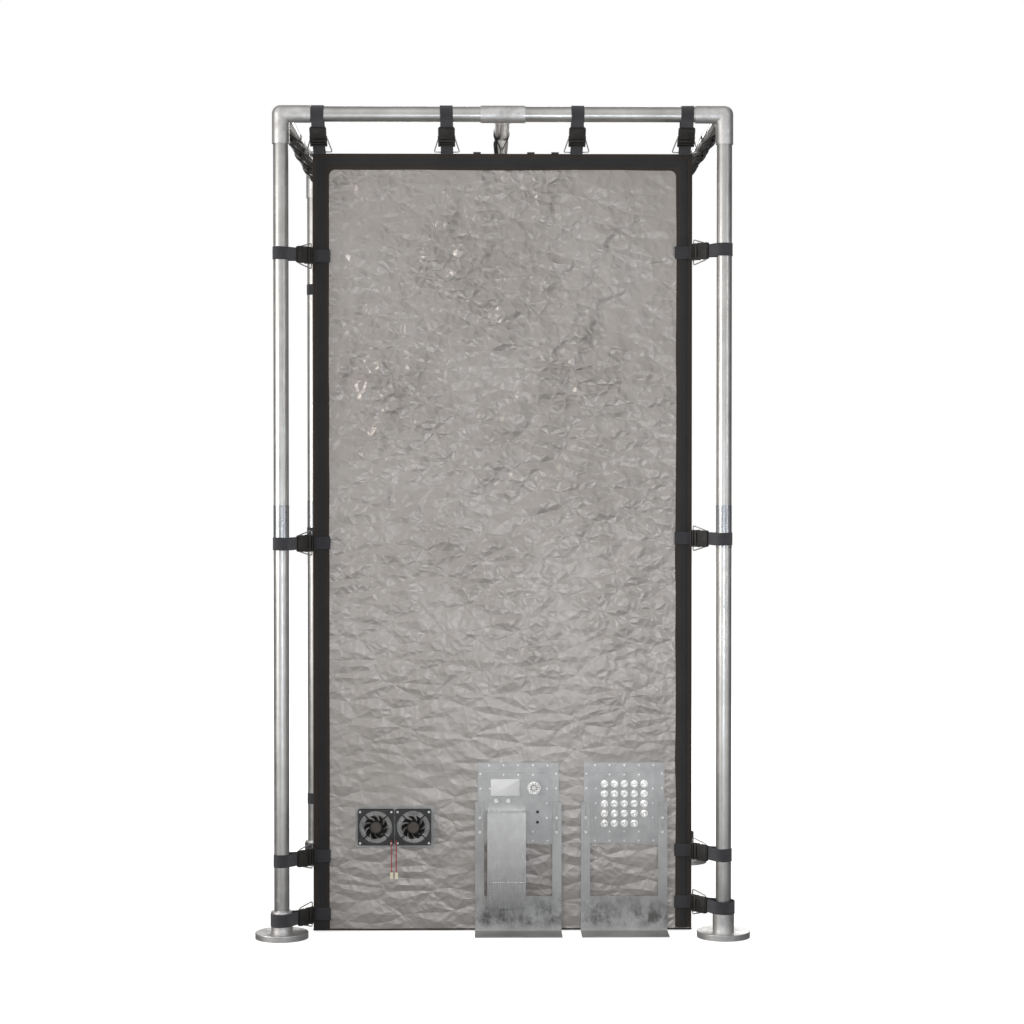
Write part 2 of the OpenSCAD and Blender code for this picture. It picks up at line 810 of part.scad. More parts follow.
module fan_plug(path) {
    end = path[len(path) - 1];
    color("beige") translate([end[0] - plug_size[0] / 2, end[1] - plug_size[1] / 2, end[2] - plug_size[2]])
        difference() {
            cube(plug_size);
            for (s = [-1, 1]) translate([plug_size[0] / 2 + s * 2.4 - 1.2, plug_size[1] / 2 - 1.5, -1])
                cube([2.4, 3, 9]);
        }
}

// ---------------------------------------------------------------- panels

module stand(x) {
    inner = stand_w / 2 - upright_w;
    color([0.6, 0.6, 0.6]) {
        on_front(x, 0, stand_back) linear_extrude(height = sheet_t) difference() {
            translate([-stand_w / 2, 0]) square([stand_w, stand_h]);
            translate([-inner, apron_h]) square([2 * inner, stand_h]);
            for (s = [-1, 1]) translate([s * slot_x, 0]) slot_outline();
        }
        plate_box([x - stand_w / 2, -wall_y - stand_front - foot_l, 0],
                  [x + stand_w / 2, -wall_y - stand_back - 1, sheet_t]);
    }
}

module slot_outline() {
    r = slot_w / 2;
    translate([-r, slot_z0 + r]) square([slot_w, slot_z1 - slot_z0 - slot_w]);
    translate([0, slot_z0 + r]) circle(r = r);
    translate([0, slot_z1 - r]) circle(r = r);
}

module square_ring(outer, inner, h) {
    linear_extrude(height = h) difference() {
        square(outer, center = true);
        square(inner, center = true);
    }
}

// Front clamp frame with its neck through the cloth, and the rear ring inside the tent
module clamp_frames(x) {
    color([0.62, 0.62, 0.62]) {
        on_front(x, panel_z, slide_gap) square_ring(frame_side, window_side, clamp_t);
        on_front(x, panel_z, clamp_front - eps) square_ring(step_side, window_side, step_t + eps);
        on_front(x, panel_z, -cloth_t - slide_gap)
            square_ring(neck_side, window_side, cloth_t + 2 * slide_gap + 1);
        on_front(x, panel_z, -cloth_t - slide_gap - clamp_t) square_ring(frame_side, window_side, clamp_t);
    }
}

module panel_plate(x) {
    color([0.66, 0.66, 0.66]) on_front(x, panel_z, plate_back) linear_extrude(height = sheet_t)
        difference() {
            square(plate_side, center = true);
            children();
        }
}

// Twenty-four places in five rows of five, without the last
module coax_places() {
    for (i = [-2:2], j = [-2:2])
        if (!(i == 2 && j == -2)) translate([i * coax_pitch, j * coax_pitch - coax_drop]) children();
}

module coax_connector() {
    difference() {
        union() {
            cylinder(r = coax_flange_r, h = coax_flange_t);
            cylinder(r = coax_r, h = coax_flange_t + coax_l);
            translate([0, 0, -sheet_t]) cylinder(r = coax_r - 0.05, h = sheet_t + 1);
            translate([0, 0, -sheet_t - coax_flange_t]) cylinder(r = coax_nut_r, h = coax_flange_t, $fn = 6);
            translate([0, 0, -sheet_t - coax_flange_t - coax_l]) cylinder(r = coax_r, h = coax_l + 1);
        }
        for (z = [coax_flange_t + coax_l - coax_socket_l, -sheet_t - coax_flange_t - coax_l - 1])
            translate([0, 0, z]) cylinder(r = coax_socket_r, h = coax_socket_l + 1);
    }
    translate([0, 0, coax_flange_t + coax_l - coax_socket_l - 1])
        cylinder(r = coax_pin_r, h = coax_socket_l - 1, $fn = 24);
}

module coax_connectors() {
    color("whitesmoke") on_front(coax_x, panel_z, plate_front) coax_places() coax_connector();
}

module filter_plate() {
    panel_plate(filter_x) for (p = port_places) translate([p[0], p[1]]) circle(r = p[3]);
}

module feedthrough_plate() {
    panel_plate(coax_x) coax_places() circle(r = coax_r);
}

// Ports of the filter plate: [x, z, flange radius, neck radius, forward length]
port_places = [[50.5, 49, 21.5, 15, 14], [-70.5, 7, 7.5, 4.5, 9], [-31, 7, 7.5, 4.5, 9],
    [62, -28, 4.5, 3, 7], [62, -61, 4.5, 3, 7]];

module port(flange_r, neck_r, l) {
    difference() {
        union() {
            cylinder(r = flange_r, h = l * 0.4);
            cylinder(r = flange_r * 0.8, h = l);
            translate([0, 0, -sheet_t - 5]) cylinder(r = neck_r - 0.05, h = sheet_t + 6);
        }
        translate([0, 0, l - 5]) cylinder(r = flange_r * 0.6, h = 6);
    }
    if (flange_r > 20) for (a = [0:45:315]) rotate([0, 0, a]) translate([flange_r * 0.35, 0, l - 6])
        cylinder(r = 1.2, h = 5, $fn = 16);
}

module filter_plate_ports() {
    color("whitesmoke") on_front(filter_x, panel_z, plate_front) {
        for (p = port_places) translate([p[0], p[1], 0]) port(p[2], p[3], p[4]);
        translate(cover_place) linear_extrude(height = cover_t)
            rounded_square(cover_size[0], cover_size[1], 2);
    }
}

module filter_box() {
    x0 = filter_x + box_x0;
    y1 = -wall_y - plate_front;
    color([0.7, 0.7, 0.68]) difference() {
        plate_box([x0, y1 - box_d, box_z0], [x0 + box_w, y1, box_z1]);
        plate_box([x0 + box_wall, y1 - box_d + box_wall, box_z0 + box_wall],
                  [x0 + box_w - box_wall, y1 - box_wall, box_z1 - box_wall]);
        translate([x0 + box_w / 2, y1 - box_d / 2, box_z0 - 1]) cylinder(r = box_entry_r, h = box_wall + 2);
        plate_box([x0 - 1, y1 - box_d - 1, box_seam_z], [x0 + box_w + 1, y1 - box_d + 0.8, box_seam_z + 1]);
    }
}

module screw_head() {
    cylinder(r = screw_r, h = screw_t, $fn = 24);
}

// Heads on the clamp frame and on the plate, and the bolts that run in the stand's slots
module panel_screws(x) {
    color("gainsboro") {
        on_front(x, panel_z, clamp_front) {
            for (s = [-1, 1], i = [-2:2]) translate([i * screw_pitch, s * outer_screw, 0]) screw_head();
            for (s = [-1, 1], i = [1, 2]) translate([s * outer_screw, i * screw_pitch, 0]) screw_head();
        }
        on_front(x, panel_z, plate_front) children();
        on_front(x, 0, clamp_front) for (s = [-1, 1], z = bolt_z) translate([s * slot_x, z, 0]) {
            cylinder(r = bolt_r, h = sheet_t + 2 * slide_gap + 1, $fn = 24);
            translate([0, 0, sheet_t + 2 * slide_gap]) cylinder(r = bolt_head_r, h = bolt_head_t);
        }
    }
}

module filter_panel_screws() {
    panel_screws(filter_x) {
        for (i = [-1:1]) translate([i * screw_pitch, inner_screw, 0]) screw_head();
        for (i = [-1:1]) translate([inner_screw, i * screw_pitch, 0]) screw_head();
        translate([-inner_screw, screw_pitch, 0]) screw_head();
        translate([screw_pitch, -inner_screw, 0]) screw_head();
    }
}

module feedthrough_panel_screws() {
    panel_screws(coax_x) for (s = [-1, 1], i = [-1:1]) {
        translate([i * screw_pitch, s * inner_screw, 0]) screw_head();
        translate([s * inner_screw, i * screw_pitch, 0]) screw_head();
    }
}

base_flanges();
lower_pole(front_left);  // lower_pole_front_left
lower_pole(front_right);  // lower_pole_front_right
lower_pole(rear_left);  // lower_pole_rear_left
lower_pole(rear_right);  // lower_pole_rear_right
upper_pole(front_left);  // upper_pole_front_left
upper_pole(front_right);  // upper_pole_front_right
upper_pole(rear_left);  // upper_pole_rear_left
upper_pole(rear_right);  // upper_pole_rear_right
corner_elbow_at(front_left);  // corner_elbow_front_left
corner_elbow_at(front_right);  // corner_elbow_front_right
corner_elbow_at(rear_left);  // corner_elbow_rear_left
corner_elbow_at(rear_right);  // corner_elbow_rear_right
pole_couplings();
rail_x(-pole_x + socket_stop, -1, -pole_y);  // front_rail_left
rail_x(1, pole_x - socket_stop, -pole_y);  // front_rail_right
rail_x(-pole_x + socket_stop, -1, pole_y);  // rear_rail_left
rail_x(1, pole_x - socket_stop, pole_y);  // rear_rail_right
rail_y(-pole_x);  // side_rail_left
rail_y(pole_x);  // side_rail_right
rail_y(0);  // centre_rail
rail_tees();
grub_screws();
tent_floor();
tent_front_wall();
tent_side_wall(-1);  // tent_left_wall
tent_side_wall(1);  // tent_right_wall
tent_roof();
tent_rear_wall();
tent_door();
door_zip_tape();
zip_slider();
edge_bindings();
roof_tabs();
pole_straps();
rail_straps();
strap_buckles();
strap_rings();
ring_tabs();
fan_vent_plate();
fan_housing(-1);  // fan_housing_left
fan_housing(1);  // fan_housing_right
fan_rotor(-1);  // fan_rotor_left
fan_rotor(1);  // fan_rotor_right
fan_screws();
fan_lead(lead_left);  // fan_lead_left
fan_lead(lead_right);  // fan_lead_right
fan_plug(lead_left);  // fan_plug_left
fan_plug(lead_right);  // fan_plug_right
stand(filter_x);  // filter_stand
stand(coax_x);  // feedthrough_stand
clamp_frames(filter_x);  // filter_clamp_frames
clamp_frames(coax_x);  // feedthrough_clamp_frames
filter_plate();
feedthrough_plate();
coax_connectors();
filter_box();
filter_plate_ports();
filter_panel_screws();
feedthrough_panel_screws();
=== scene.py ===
"""Looks of the shielded test tent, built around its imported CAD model. Metres, +Z up, the front faces -Y."""

import math

import bpy
import numpy as np
from mathutils import Matrix, Vector


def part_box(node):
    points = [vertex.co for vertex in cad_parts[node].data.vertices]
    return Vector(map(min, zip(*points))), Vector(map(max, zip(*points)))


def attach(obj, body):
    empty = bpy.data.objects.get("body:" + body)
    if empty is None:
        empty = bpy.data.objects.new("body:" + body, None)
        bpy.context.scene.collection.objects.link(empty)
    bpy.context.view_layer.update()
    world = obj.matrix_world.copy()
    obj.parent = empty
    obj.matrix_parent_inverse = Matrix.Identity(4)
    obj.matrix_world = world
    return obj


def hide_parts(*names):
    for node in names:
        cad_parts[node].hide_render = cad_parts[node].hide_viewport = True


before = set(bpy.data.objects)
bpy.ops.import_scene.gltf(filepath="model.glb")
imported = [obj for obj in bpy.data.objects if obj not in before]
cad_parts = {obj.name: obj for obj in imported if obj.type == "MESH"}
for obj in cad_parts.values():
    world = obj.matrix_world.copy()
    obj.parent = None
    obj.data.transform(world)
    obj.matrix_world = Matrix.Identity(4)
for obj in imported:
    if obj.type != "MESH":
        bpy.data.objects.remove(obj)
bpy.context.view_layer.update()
ROOT = "frame_and_tent"


# ---------------------------------------------------------------- places taken from the frame

def corners_of(node):
    low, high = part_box(node)
    return Vector(low), Vector(high)


def middle_of(node):
    low, high = corners_of(node)
    return (low + high) / 2


WALL_X, WALL_Y, CLOTH_T = corners_of("tent_floor")[1]
TENT_H = corners_of("tent_roof")[1].z
POLE_X, POLE_Y = middle_of("upper_pole_front_right").x, -middle_of("upper_pole_front_right").y
PIPE_R = corners_of("upper_pole_front_right")[1].x - POLE_X
RAIL_Z = middle_of("front_rail_right").z
HUB_TOP = corners_of("base_flanges")[1].z
COUPLING_LOW = corners_of("lower_pole_front_left")[1].z
COUPLING_HIGH = corners_of("upper_pole_front_left")[0].z
binding_low, binding_high = corners_of("edge_bindings")
BAND_T = binding_high.x - WALL_X
door_low, door_high = corners_of("tent_door")
tape_low, tape_high = corners_of("door_zip_tape")


# ---------------------------------------------------------------- camera, lights and floor

CAMERA_PLACE = (-0.066, -7.895, 1.462)
CAMERA_TILT, CAMERA_TURN = -0.905, -0.755  # degrees down from level, and to the right


def make_camera():
    camera = bpy.data.objects.new("camera", bpy.data.cameras.new("camera"))
    bpy.context.scene.collection.objects.link(camera)
    camera.data.lens = 80
    camera.data.sensor_width = 36
    camera.data.clip_end = 100
    camera.location = CAMERA_PLACE
    camera.rotation_euler = (math.radians(90 + CAMERA_TILT), 0, math.radians(CAMERA_TURN))
    bpy.context.scene.camera = camera


def area_light(name, place, target, size, power, color):
    light = bpy.data.lights.new(name, "AREA")
    light.shape = "RECTANGLE"
    light.size, light.size_y = size
    light.energy = power
    light.color = color
    lamp = bpy.data.objects.new(name, light)
    lamp.location = place
    lamp.rotation_euler = (Vector(target) - Vector(place)).to_track_quat("-Z", "Y").to_euler()
    lamp.visible_camera = False
    bpy.context.scene.collection.objects.link(lamp)


def link_chain(tree, kind, *inputs, **settings):
    """A node of the stage's own trees, with its numbered inputs linked or set."""
    n = tree.nodes.new(kind)
    for key, value in settings.items():
        setattr(n, key, value)
    for index, value in enumerate(inputs):
        if isinstance(value, bpy.types.NodeSocket):
            tree.links.new(value, n.inputs[index])
        elif value is not None:
            n.inputs[index].default_value = value
    return n


def make_surround():
    """A studio's soft surround: bright front left, dim right, a glow behind. The camera sees it white."""
    world = bpy.context.scene.world or bpy.data.worlds.new("studio")
    bpy.context.scene.world = world
    world.use_nodes = True
    tree = world.node_tree
    direction = tree.nodes.new("ShaderNodeTexCoord").outputs["Generated"]

    level = 0.13
    for toward, low, high, strength in (((-0.50, -0.84, 0.20), 0.1, 0.95, 0.62),  # front left
                                        ((-0.15, 0.98, 0.10), 0.6, 1.0, 0.45),  # behind
                                        ((0.0, -0.3, 0.95), 0.3, 1.0, 0.3)):  # overhead
        along = link_chain(tree, "ShaderNodeVectorMath", direction, toward, operation="DOT_PRODUCT")
        lobe = link_chain(tree, "ShaderNodeMapRange", along.outputs["Value"], low, high, 0.0, strength,
                          interpolation_type="SMOOTHSTEP")
        level = link_chain(tree, "ShaderNodeMath", lobe.outputs[0], level, operation="ADD").outputs[0]
    surround = tree.nodes["Background"]
    surround.inputs["Color"].default_value = (1.0, 0.99, 0.98, 1)
    tree.links.new(level, surround.inputs["Strength"])
    backdrop = tree.nodes.new("ShaderNodeBackground")
    backdrop.inputs["Color"].default_value = (1, 1, 1, 1)
    backdrop.inputs["Strength"].default_value = 1.0
    seen = tree.nodes.new("ShaderNodeLightPath")
    choice = link_chain(tree, "ShaderNodeMixShader", seen.outputs["Is Camera Ray"], surround.outputs[0],
                        backdrop.outputs[0])
    tree.links.new(choice.outputs[0], tree.nodes["World Output"].inputs["Surface"])


def make_floor():
    """A pale floor. To all rays but the camera's it glows with painted shade, dim close to the object and
    brighter further to the front, and the object's metal mirrors this.
    """
    bpy.ops.mesh.primitive_plane_add(size=60, location=(0, 0, -0.0005))
    floor = bpy.context.object
    floor.name = "studio_floor"
    m = bpy.data.materials.new("studio_floor")
    m.use_nodes = True
    tree = m.node_tree
    pale = tree.nodes["Principled BSDF"]
    pale.inputs["Base Color"].default_value = (0.88, 0.88, 0.88, 1)
    pale.inputs["Roughness"].default_value = 0.9
    pale.inputs["Emission Color"].default_value = (1, 1, 1, 1)
    pale.inputs["Emission Strength"].default_value = 0.74
    place = tree.nodes.new("ShaderNodeNewGeometry").outputs["Position"]
    depth = link_chain(tree, "ShaderNodeSeparateXYZ", place).outputs["Y"]
    # Painted shade: the glow that other rays see is dim close to the object and brighter further to the front
    glow = link_chain(tree, "ShaderNodeMapRange", depth, -1.0, -3.0, 0.14, 0.66).outputs[0]
    painted_shade_glow = link_chain(tree, "ShaderNodeEmission", (1, 1, 1, 1), glow)
    seen = tree.nodes.new("ShaderNodeLightPath").outputs["Is Camera Ray"]
    choice = link_chain(tree, "ShaderNodeMixShader", seen, painted_shade_glow.outputs[0], pale.outputs[0])
    tree.links.new(choice.outputs[0], tree.nodes["Material Output"].inputs["Surface"])
    floor.data.materials.append(m)


def make_stage():
    make_surround()
    bpy.context.scene.view_settings.view_transform = "Standard"
    area_light("key", (-5.0, -3.9, 1.7), (0, 0, 0.7), (1.4, 1.4), 104, (1.0, 0.965, 0.92))
    area_light("fill", (4.2, -4.5, 1.8), (0, 0, 0.8), (1.2, 2.4), 27, (0.95, 0.97, 1.0))
    area_light("low_glow", (0.33, -4.2, 0.8), (0.2, 0, 0.95), (1.0, 0.4), 16, (0.86, 0.92, 1.0))
    area_light("rear", (0.5, 5.5, 4.2), (0, 0, 1.5), (3.0, 2.0), 150, (1.0, 0.99, 0.97))
    make_floor()


make_camera()
make_stage()


# ---------------------------------------------------------------- materials

class Shader:
    """A Principled material with short calls for the nodes that the finishes below are made of."""

    def __init__(self, name, **values):
        self.material = bpy.data.materials.new(name)
        self.material.use_nodes = True
        self.tree = self.material.node_tree
        self.bsdf = self.tree.nodes["Principled BSDF"]
        for key, value in values.items():
            self.bsdf.inputs[key.replace("_", " ")].default_value = value

    def add(self, kind, inputs=(), **settings):
        n = self.tree.nodes.new(kind)
        for key, value in settings.items():
            setattr(n, key, value)
        for key, value in dict(inputs).items():
            socket = n.inputs[key]
            if isinstance(value, bpy.types.NodeSocket):
                self.tree.links.new(value, socket)
            else:
                socket.default_value = value
        return n

    def place(self, scale=(1, 1, 1), attribute=None):
        """Coordinates in metres times scale: the object's own, or those stored on the mesh."""
        if attribute:
            source = self.add("ShaderNodeAttribute", attribute_name=attribute).outputs["Vector"]
        else:
            source = self.add("ShaderNodeTexCoord").outputs["Object"]
        return self.add("ShaderNodeMapping", {"Vector": source, "Scale": scale}).outputs["Vector"]

    def noise(self, at, scale, detail=3.0, roughness=0.55):
        inputs = {"Vector": at, "Scale": scale, "Detail": detail, "Roughness": roughness}
        return self.add("ShaderNodeTexNoise", inputs).outputs["Fac"]

    def cells(self, at, scale):
        return self.add("ShaderNodeTexVoronoi", {"Vector": at, "Scale": scale}).outputs["Distance"]

    def folds(self, at, scale, steepness):
        """Heights in metres of flat facets that rise from crease to crease with the stated slope."""
        n = self.add("ShaderNodeTexVoronoi", {"Vector": at, "Scale": scale}, feature="DISTANCE_TO_EDGE",
                     voronoi_dimensions="2D")
        return self.math("MULTIPLY", n.outputs["Distance"], steepness / scale)

    def math(self, operation, a, b=0.0):
        return self.add("ShaderNodeMath", {0: a, 1: b}, operation=operation).outputs[0]

    def between(self, value, low, high, out_low=0.0, out_high=1.0):
        return self.add("ShaderNodeMapRange", {"Value": value, "From Min": low, "From Max": high,
                                               "To Min": out_low, "To Max": out_high}).outputs["Result"]

    def ramp(self, value, *stops):
        n = self.add("ShaderNodeValToRGB", {"Fac": value})
        elements = n.color_ramp.elements
        while len(elements) < len(stops):
            elements.new(0.5)
        for element, (position, color) in zip(elements, stops):
            element.position = position
            element.color = (*color, 1)
        return n.outputs["Color"]

    def mix(self, factor, a, b):
        n = self.add("ShaderNodeMix", data_type="RGBA")
        for index, value in ((0, factor), (6, a), (7, b)):
            if isinstance(value, bpy.types.NodeSocket):
                self.tree.links.new(value, n.inputs[index])
            else:
                n.inputs[index].default_value = value if index == 0 else (*value, 1)
        return n.outputs[2]

    def warped(self, at, amount, scale):
        """Coordinates pushed about by noise, so that cell borders wander."""
        n = self.add("ShaderNodeTexNoise", {"Vector": at, "Scale": scale, "Detail": 2.0})
        push = self.add("ShaderNodeVectorMath", {0: n.outputs["Color"], 1: (0.5, 0.5, 0.5)},
                        operation="SUBTRACT")
        scaled = self.add("ShaderNodeVectorMath", {0: push.outputs[0], "Scale": amount}, operation="SCALE")
        return self.add("ShaderNodeVectorMath", {0: at, 1: scaled.outputs[0]}, operation="ADD").outputs[0]

    def color(self, socket):
        self.tree.links.new(socket, self.bsdf.inputs["Base Color"])

    def rough(self, socket):
        self.tree.links.new(socket, self.bsdf.inputs["Roughness"])

    def bump(self, height, distance, strength=1.0):
        """Heights of 0 to 1 stand for 0 to distance, in metres."""
        n = self.add("ShaderNodeBump", {"Height": height, "Distance": distance, "Strength": strength})
        if self.bsdf.inputs["Normal"].is_linked:
            before = self.bsdf.inputs["Normal"].links[0].from_socket
            self.tree.links.new(before, n.inputs["Normal"])
        self.tree.links.new(n.outputs["Normal"], self.bsdf.inputs["Normal"])


def silver_cloth():
    """Metallised cloth: flat facets between narrow creases in two sizes, over a fine grain."""
    s = Shader("silver_cloth", Metallic=0.42, Roughness=0.38)
    flat = s.place(attribute="cloth")
    lean = s.add("ShaderNodeMapping", {"Vector": flat, "Rotation": (0, 0, math.radians(-50)),
                                       "Scale": (0.6, 1.2, 1)}).outputs["Vector"]
    height = s.add("ShaderNodeSeparateXYZ", {"Vector": flat}).outputs["Y"]
    calm = s.math("MULTIPLY", s.between(s.noise(flat, 3.2, 3.0), 0.36, 0.66, 0.35, 1.1),
                  s.between(height, 0.5, 1.8, 0.45, 1.4))
    middle = s.folds(s.warped(lean, 0.03, 11.0), 15.0, 0.22)
    small = s.folds(s.warped(flat, 0.022, 22.0), 33.0, 0.15)
    relief = s.math("MULTIPLY", s.math("SUBTRACT", middle, small), calm)
    s.bump(s.math("ADD", relief, s.math("MULTIPLY", s.noise(flat, 240.0, 4.0, 0.6), 0.0003)), 1.0, 1.0)
    tone = s.noise(flat, 2.6, 4.0)
    s.color(s.ramp(tone, (0.3, (0.35, 0.325, 0.305)), (0.5, (0.385, 0.36, 0.34)), (0.72, (0.42, 0.4, 0.385))))
    s.rough(s.between(s.noise(flat, 30.0), 0.3, 0.7, 0.34, 0.44))
    return s.material


def woven(name, dark, light, pitch):
    """Plain cloth with one thread to each pitch, in metres."""
    s = Shader(name, Roughness=0.85, Sheen_Weight=0.25)
    at = s.place()
    bent = s.warped(at, 0.0006, 300.0)
    threads = s.cells(bent, 1 / pitch)
    s.bump(threads, pitch * 0.35, 0.8)
    soft = s.noise(at, 14.0, 5.0)
    s.bump(soft, 0.004, 0.5)
    s.color(s.mix(s.math("MULTIPLY", threads, s.between(soft, 0.3, 0.7, 0.6, 1.3)), dark, light))
    return s.material


def webbing():
    """Ribbed webbing: the stored coordinates run along the strap and across it."""
    s = Shader("webbing", Roughness=0.8, Sheen_Weight=0.3)
    at = s.place(attribute="cloth")
    ribs = s.add("ShaderNodeTexWave", {"Vector": at, "Scale": 175.0, "Distortion": 0.6, "Detail": 1.0,
                                       "Detail Scale": 3.0}, bands_direction="Y").outputs["Fac"]
    picks = s.add("ShaderNodeTexWave", {"Vector": at, "Scale": 330.0, "Distortion": 1.2},
                  bands_direction="X").outputs["Fac"]
    s.bump(s.math("ADD", ribs, s.math("MULTIPLY", picks, 0.6)), 0.0006, 0.9)
    worn = s.noise(s.place(), 18.0, 5.0)
    s.bump(worn, 0.003, 0.35)
    tone = s.math("MULTIPLY", s.math("ADD", ribs, picks), s.between(worn, 0.3, 0.7, 0.25, 0.6))
    s.color(s.mix(tone, (0.02, 0.02, 0.025), (0.062, 0.06, 0.072)))
    return s.material


def pipe_metal(name, along, color_low, color_high, roughness):
    """Drawn tube: faint lines along the axis, dull patches across."""
    s = Shader(name, Metallic=1.0, Roughness=roughness, Anisotropic=0.3)
    stretch = [70.0, 70.0, 70.0]
    stretch["XYZ".index(along)] = 1.6
    lines = s.noise(s.place(stretch), 4.0, 4.0, 0.7)
    patches = s.noise(s.place(), 7.0, 6.0, 0.65)
    grime = s.noise(s.place(), 55.0, 3.0)
    s.color(s.mix(s.between(patches, 0.35, 0.68), color_low, color_high))
    s.rough(s.math("ADD", s.between(lines, 0.3, 0.7, roughness - 0.1, roughness + 0.06),
                   s.between(grime, 0.45, 0.7, 0.0, 0.1)))
    s.bump(lines, 0.00025, 0.7)
    s.bump(patches, 0.0012, 0.3)
    return s.material


def cast_metal():
    s = Shader("cast_fitting", Metallic=1.0, Roughness=0.45)
    at = s.place()
    grain = s.noise(at, 420.0, 3.0, 0.7)
    blotch = s.noise(at, 26.0, 6.0, 0.68)
    s.color(s.ramp(blotch, (0.3, (0.5, 0.495, 0.49)), (0.52, (0.7, 0.695, 0.685)), (0.7, (0.82, 0.82, 0.83))))
    s.rough(s.between(blotch, 0.3, 0.7, 0.56, 0.36))
    s.bump(grain, 0.0005, 0.7)
    s.bump(blotch, 0.0015, 0.4)
    return s.material


def stand_sheet():
    """Galvanised sheet, stained towards the floor."""
    s = Shader("stand_sheet", Metallic=0.85, Roughness=0.5)
    at = s.place()
    spangle = s.cells(at, 75.0)
    height = s.add("ShaderNodeSeparateXYZ", {"Vector": at}).outputs["Z"]
    low = s.math("MULTIPLY", s.between(height, 0.05, 0.135, 1.0, 0.0), s.between(height, 0.006, 0.03))
    blots = s.noise(s.place((1, 1, 0.7)), 24.0, 7.0, 0.72)
    stain = s.math("MULTIPLY", s.between(blots, 0.42, 0.62), low)
    tone = s.math("ADD", s.between(s.noise(at, 9.0, 5.0), 0.3, 0.7), s.math("MULTIPLY", spangle, 0.25))
    s.color(s.mix(stain, s.mix(tone, (0.365, 0.365, 0.355), (0.49, 0.49, 0.48)), (0.155, 0.155, 0.15)))
    s.rough(s.between(blots, 0.3, 0.7, 0.42, 0.62))
    s.bump(s.noise(at, 300.0), 0.0003, 0.6)
    return s.material


def satin_metal(name, low, high, roughness=0.42, metallic=0.9, grain=(1, 1, 1)):
    s = Shader(name, Metallic=metallic, Roughness=roughness)
    brushed = s.noise(s.place(grain), 160.0, 4.0, 0.6)
    wear = s.noise(s.place(), 20.0, 6.0, 0.65)
    s.color(s.mix(s.between(wear, 0.3, 0.7), low, high))
    s.rough(s.between(brushed, 0.3, 0.7, roughness - 0.08, roughness + 0.1))
    s.bump(brushed, 0.0002, 0.6)
    return s.material


def moulded(name, low, high, roughness=0.45, grain=900.0):
    s = Shader(name, Roughness=roughness)
    at = s.place()
    texture = s.noise(at, grain, 2.0)
    dust = s.noise(at, 40.0, 6.0, 0.7)
    s.color(s.mix(s.between(dust, 0.35, 0.75), low, high))
    s.rough(s.between(dust, 0.3, 0.7, roughness - 0.06, roughness + 0.12))
    s.bump(texture, 0.00015, 0.6)
    return s.material


cloth_material = silver_cloth()
binding_material = woven("binding", (0.015, 0.010, 0.0075), (0.036, 0.027, 0.021), 0.0016)
tape_material = woven("black_tape", (0.010, 0.0095, 0.0095), (0.026, 0.025, 0.026), 0.0012)
webbing_material = webbing()
groundsheet_material = woven("groundsheet", (0.03, 0.03, 0.03), (0.075, 0.075, 0.07), 0.002)
upright_metal = pipe_metal("pipe_upright", "Z", (0.5, 0.495, 0.48), (0.66, 0.655, 0.64), 0.36)
cross_metal = pipe_metal("pipe_across", "X", (0.5, 0.495, 0.48), (0.68, 0.675, 0.66), 0.34)
deep_metal = pipe_metal("pipe_deep", "Y", (0.5, 0.495, 0.48), (0.66, 0.655, 0.64), 0.36)
coupling_metal = pipe_metal("coupling", "Z", (0.34, 0.35, 0.37), (0.48, 0.49, 0.505), 0.3)
cast_material = cast_metal()
stand_material = stand_sheet()
panel_material = satin_metal("panel_metal", (0.37, 0.37, 0.365), (0.48, 0.48, 0.47), 0.46)
box_material = satin_metal("box_steel", (0.62, 0.62, 0.61), (0.72, 0.72, 0.71), 0.2, 1.0, (8, 8, 0.25))
nickel_material = satin_metal("nickel", (0.72, 0.71, 0.68), (0.88, 0.87, 0.84), 0.25)
screw_material = satin_metal("screw_steel", (0.6, 0.6, 0.58), (0.8, 0.8, 0.78), 0.3)
wire_material = satin_metal("galvanised_wire", (0.5, 0.5, 0.49), (0.72, 0.72, 0.7), 0.35)
dark_steel_material = satin_metal("dark_steel", (0.05, 0.05, 0.05), (0.1, 0.1, 0.1), 0.45)
vent_plate_and_shadow_material = satin_metal("vent_metal", (0.3, 0.3, 0.29), (0.42, 0.42, 0.41), 0.45)
buckle_material = moulded("buckle_plastic", (0.02, 0.019, 0.018), (0.045, 0.042, 0.038), 0.5)
fan_material = moulded("fan_plastic", (0.012, 0.012, 0.012), (0.035, 0.033, 0.03), 0.4)
red_material = moulded("red_insulation", (0.32, 0.02, 0.02), (0.5, 0.05, 0.04), 0.4)
plug_material = moulded("plug_plastic", (0.68, 0.6, 0.42), (0.85, 0.8, 0.62), 0.45)
cover_material = moulded("white_cover", (0.74, 0.74, 0.74), (0.82, 0.82, 0.82), 0.4)
label_material = satin_metal("hub_label", (0.055, 0.045, 0.036), (0.09, 0.075, 0.06), 0.5, 0.3)
port_black_material = moulded("port_black", (0.01, 0.01, 0.01), (0.03, 0.03, 0.03), 0.35)


def paint_node(material, *nodes):
    for name in nodes:
        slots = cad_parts[name].data.materials
        slots.clear()
        slots.append(material)


def corner_names(stem):
    return [f"{stem}_{place}" for place in ("front_left", "front_right", "rear_left", "rear_right")]


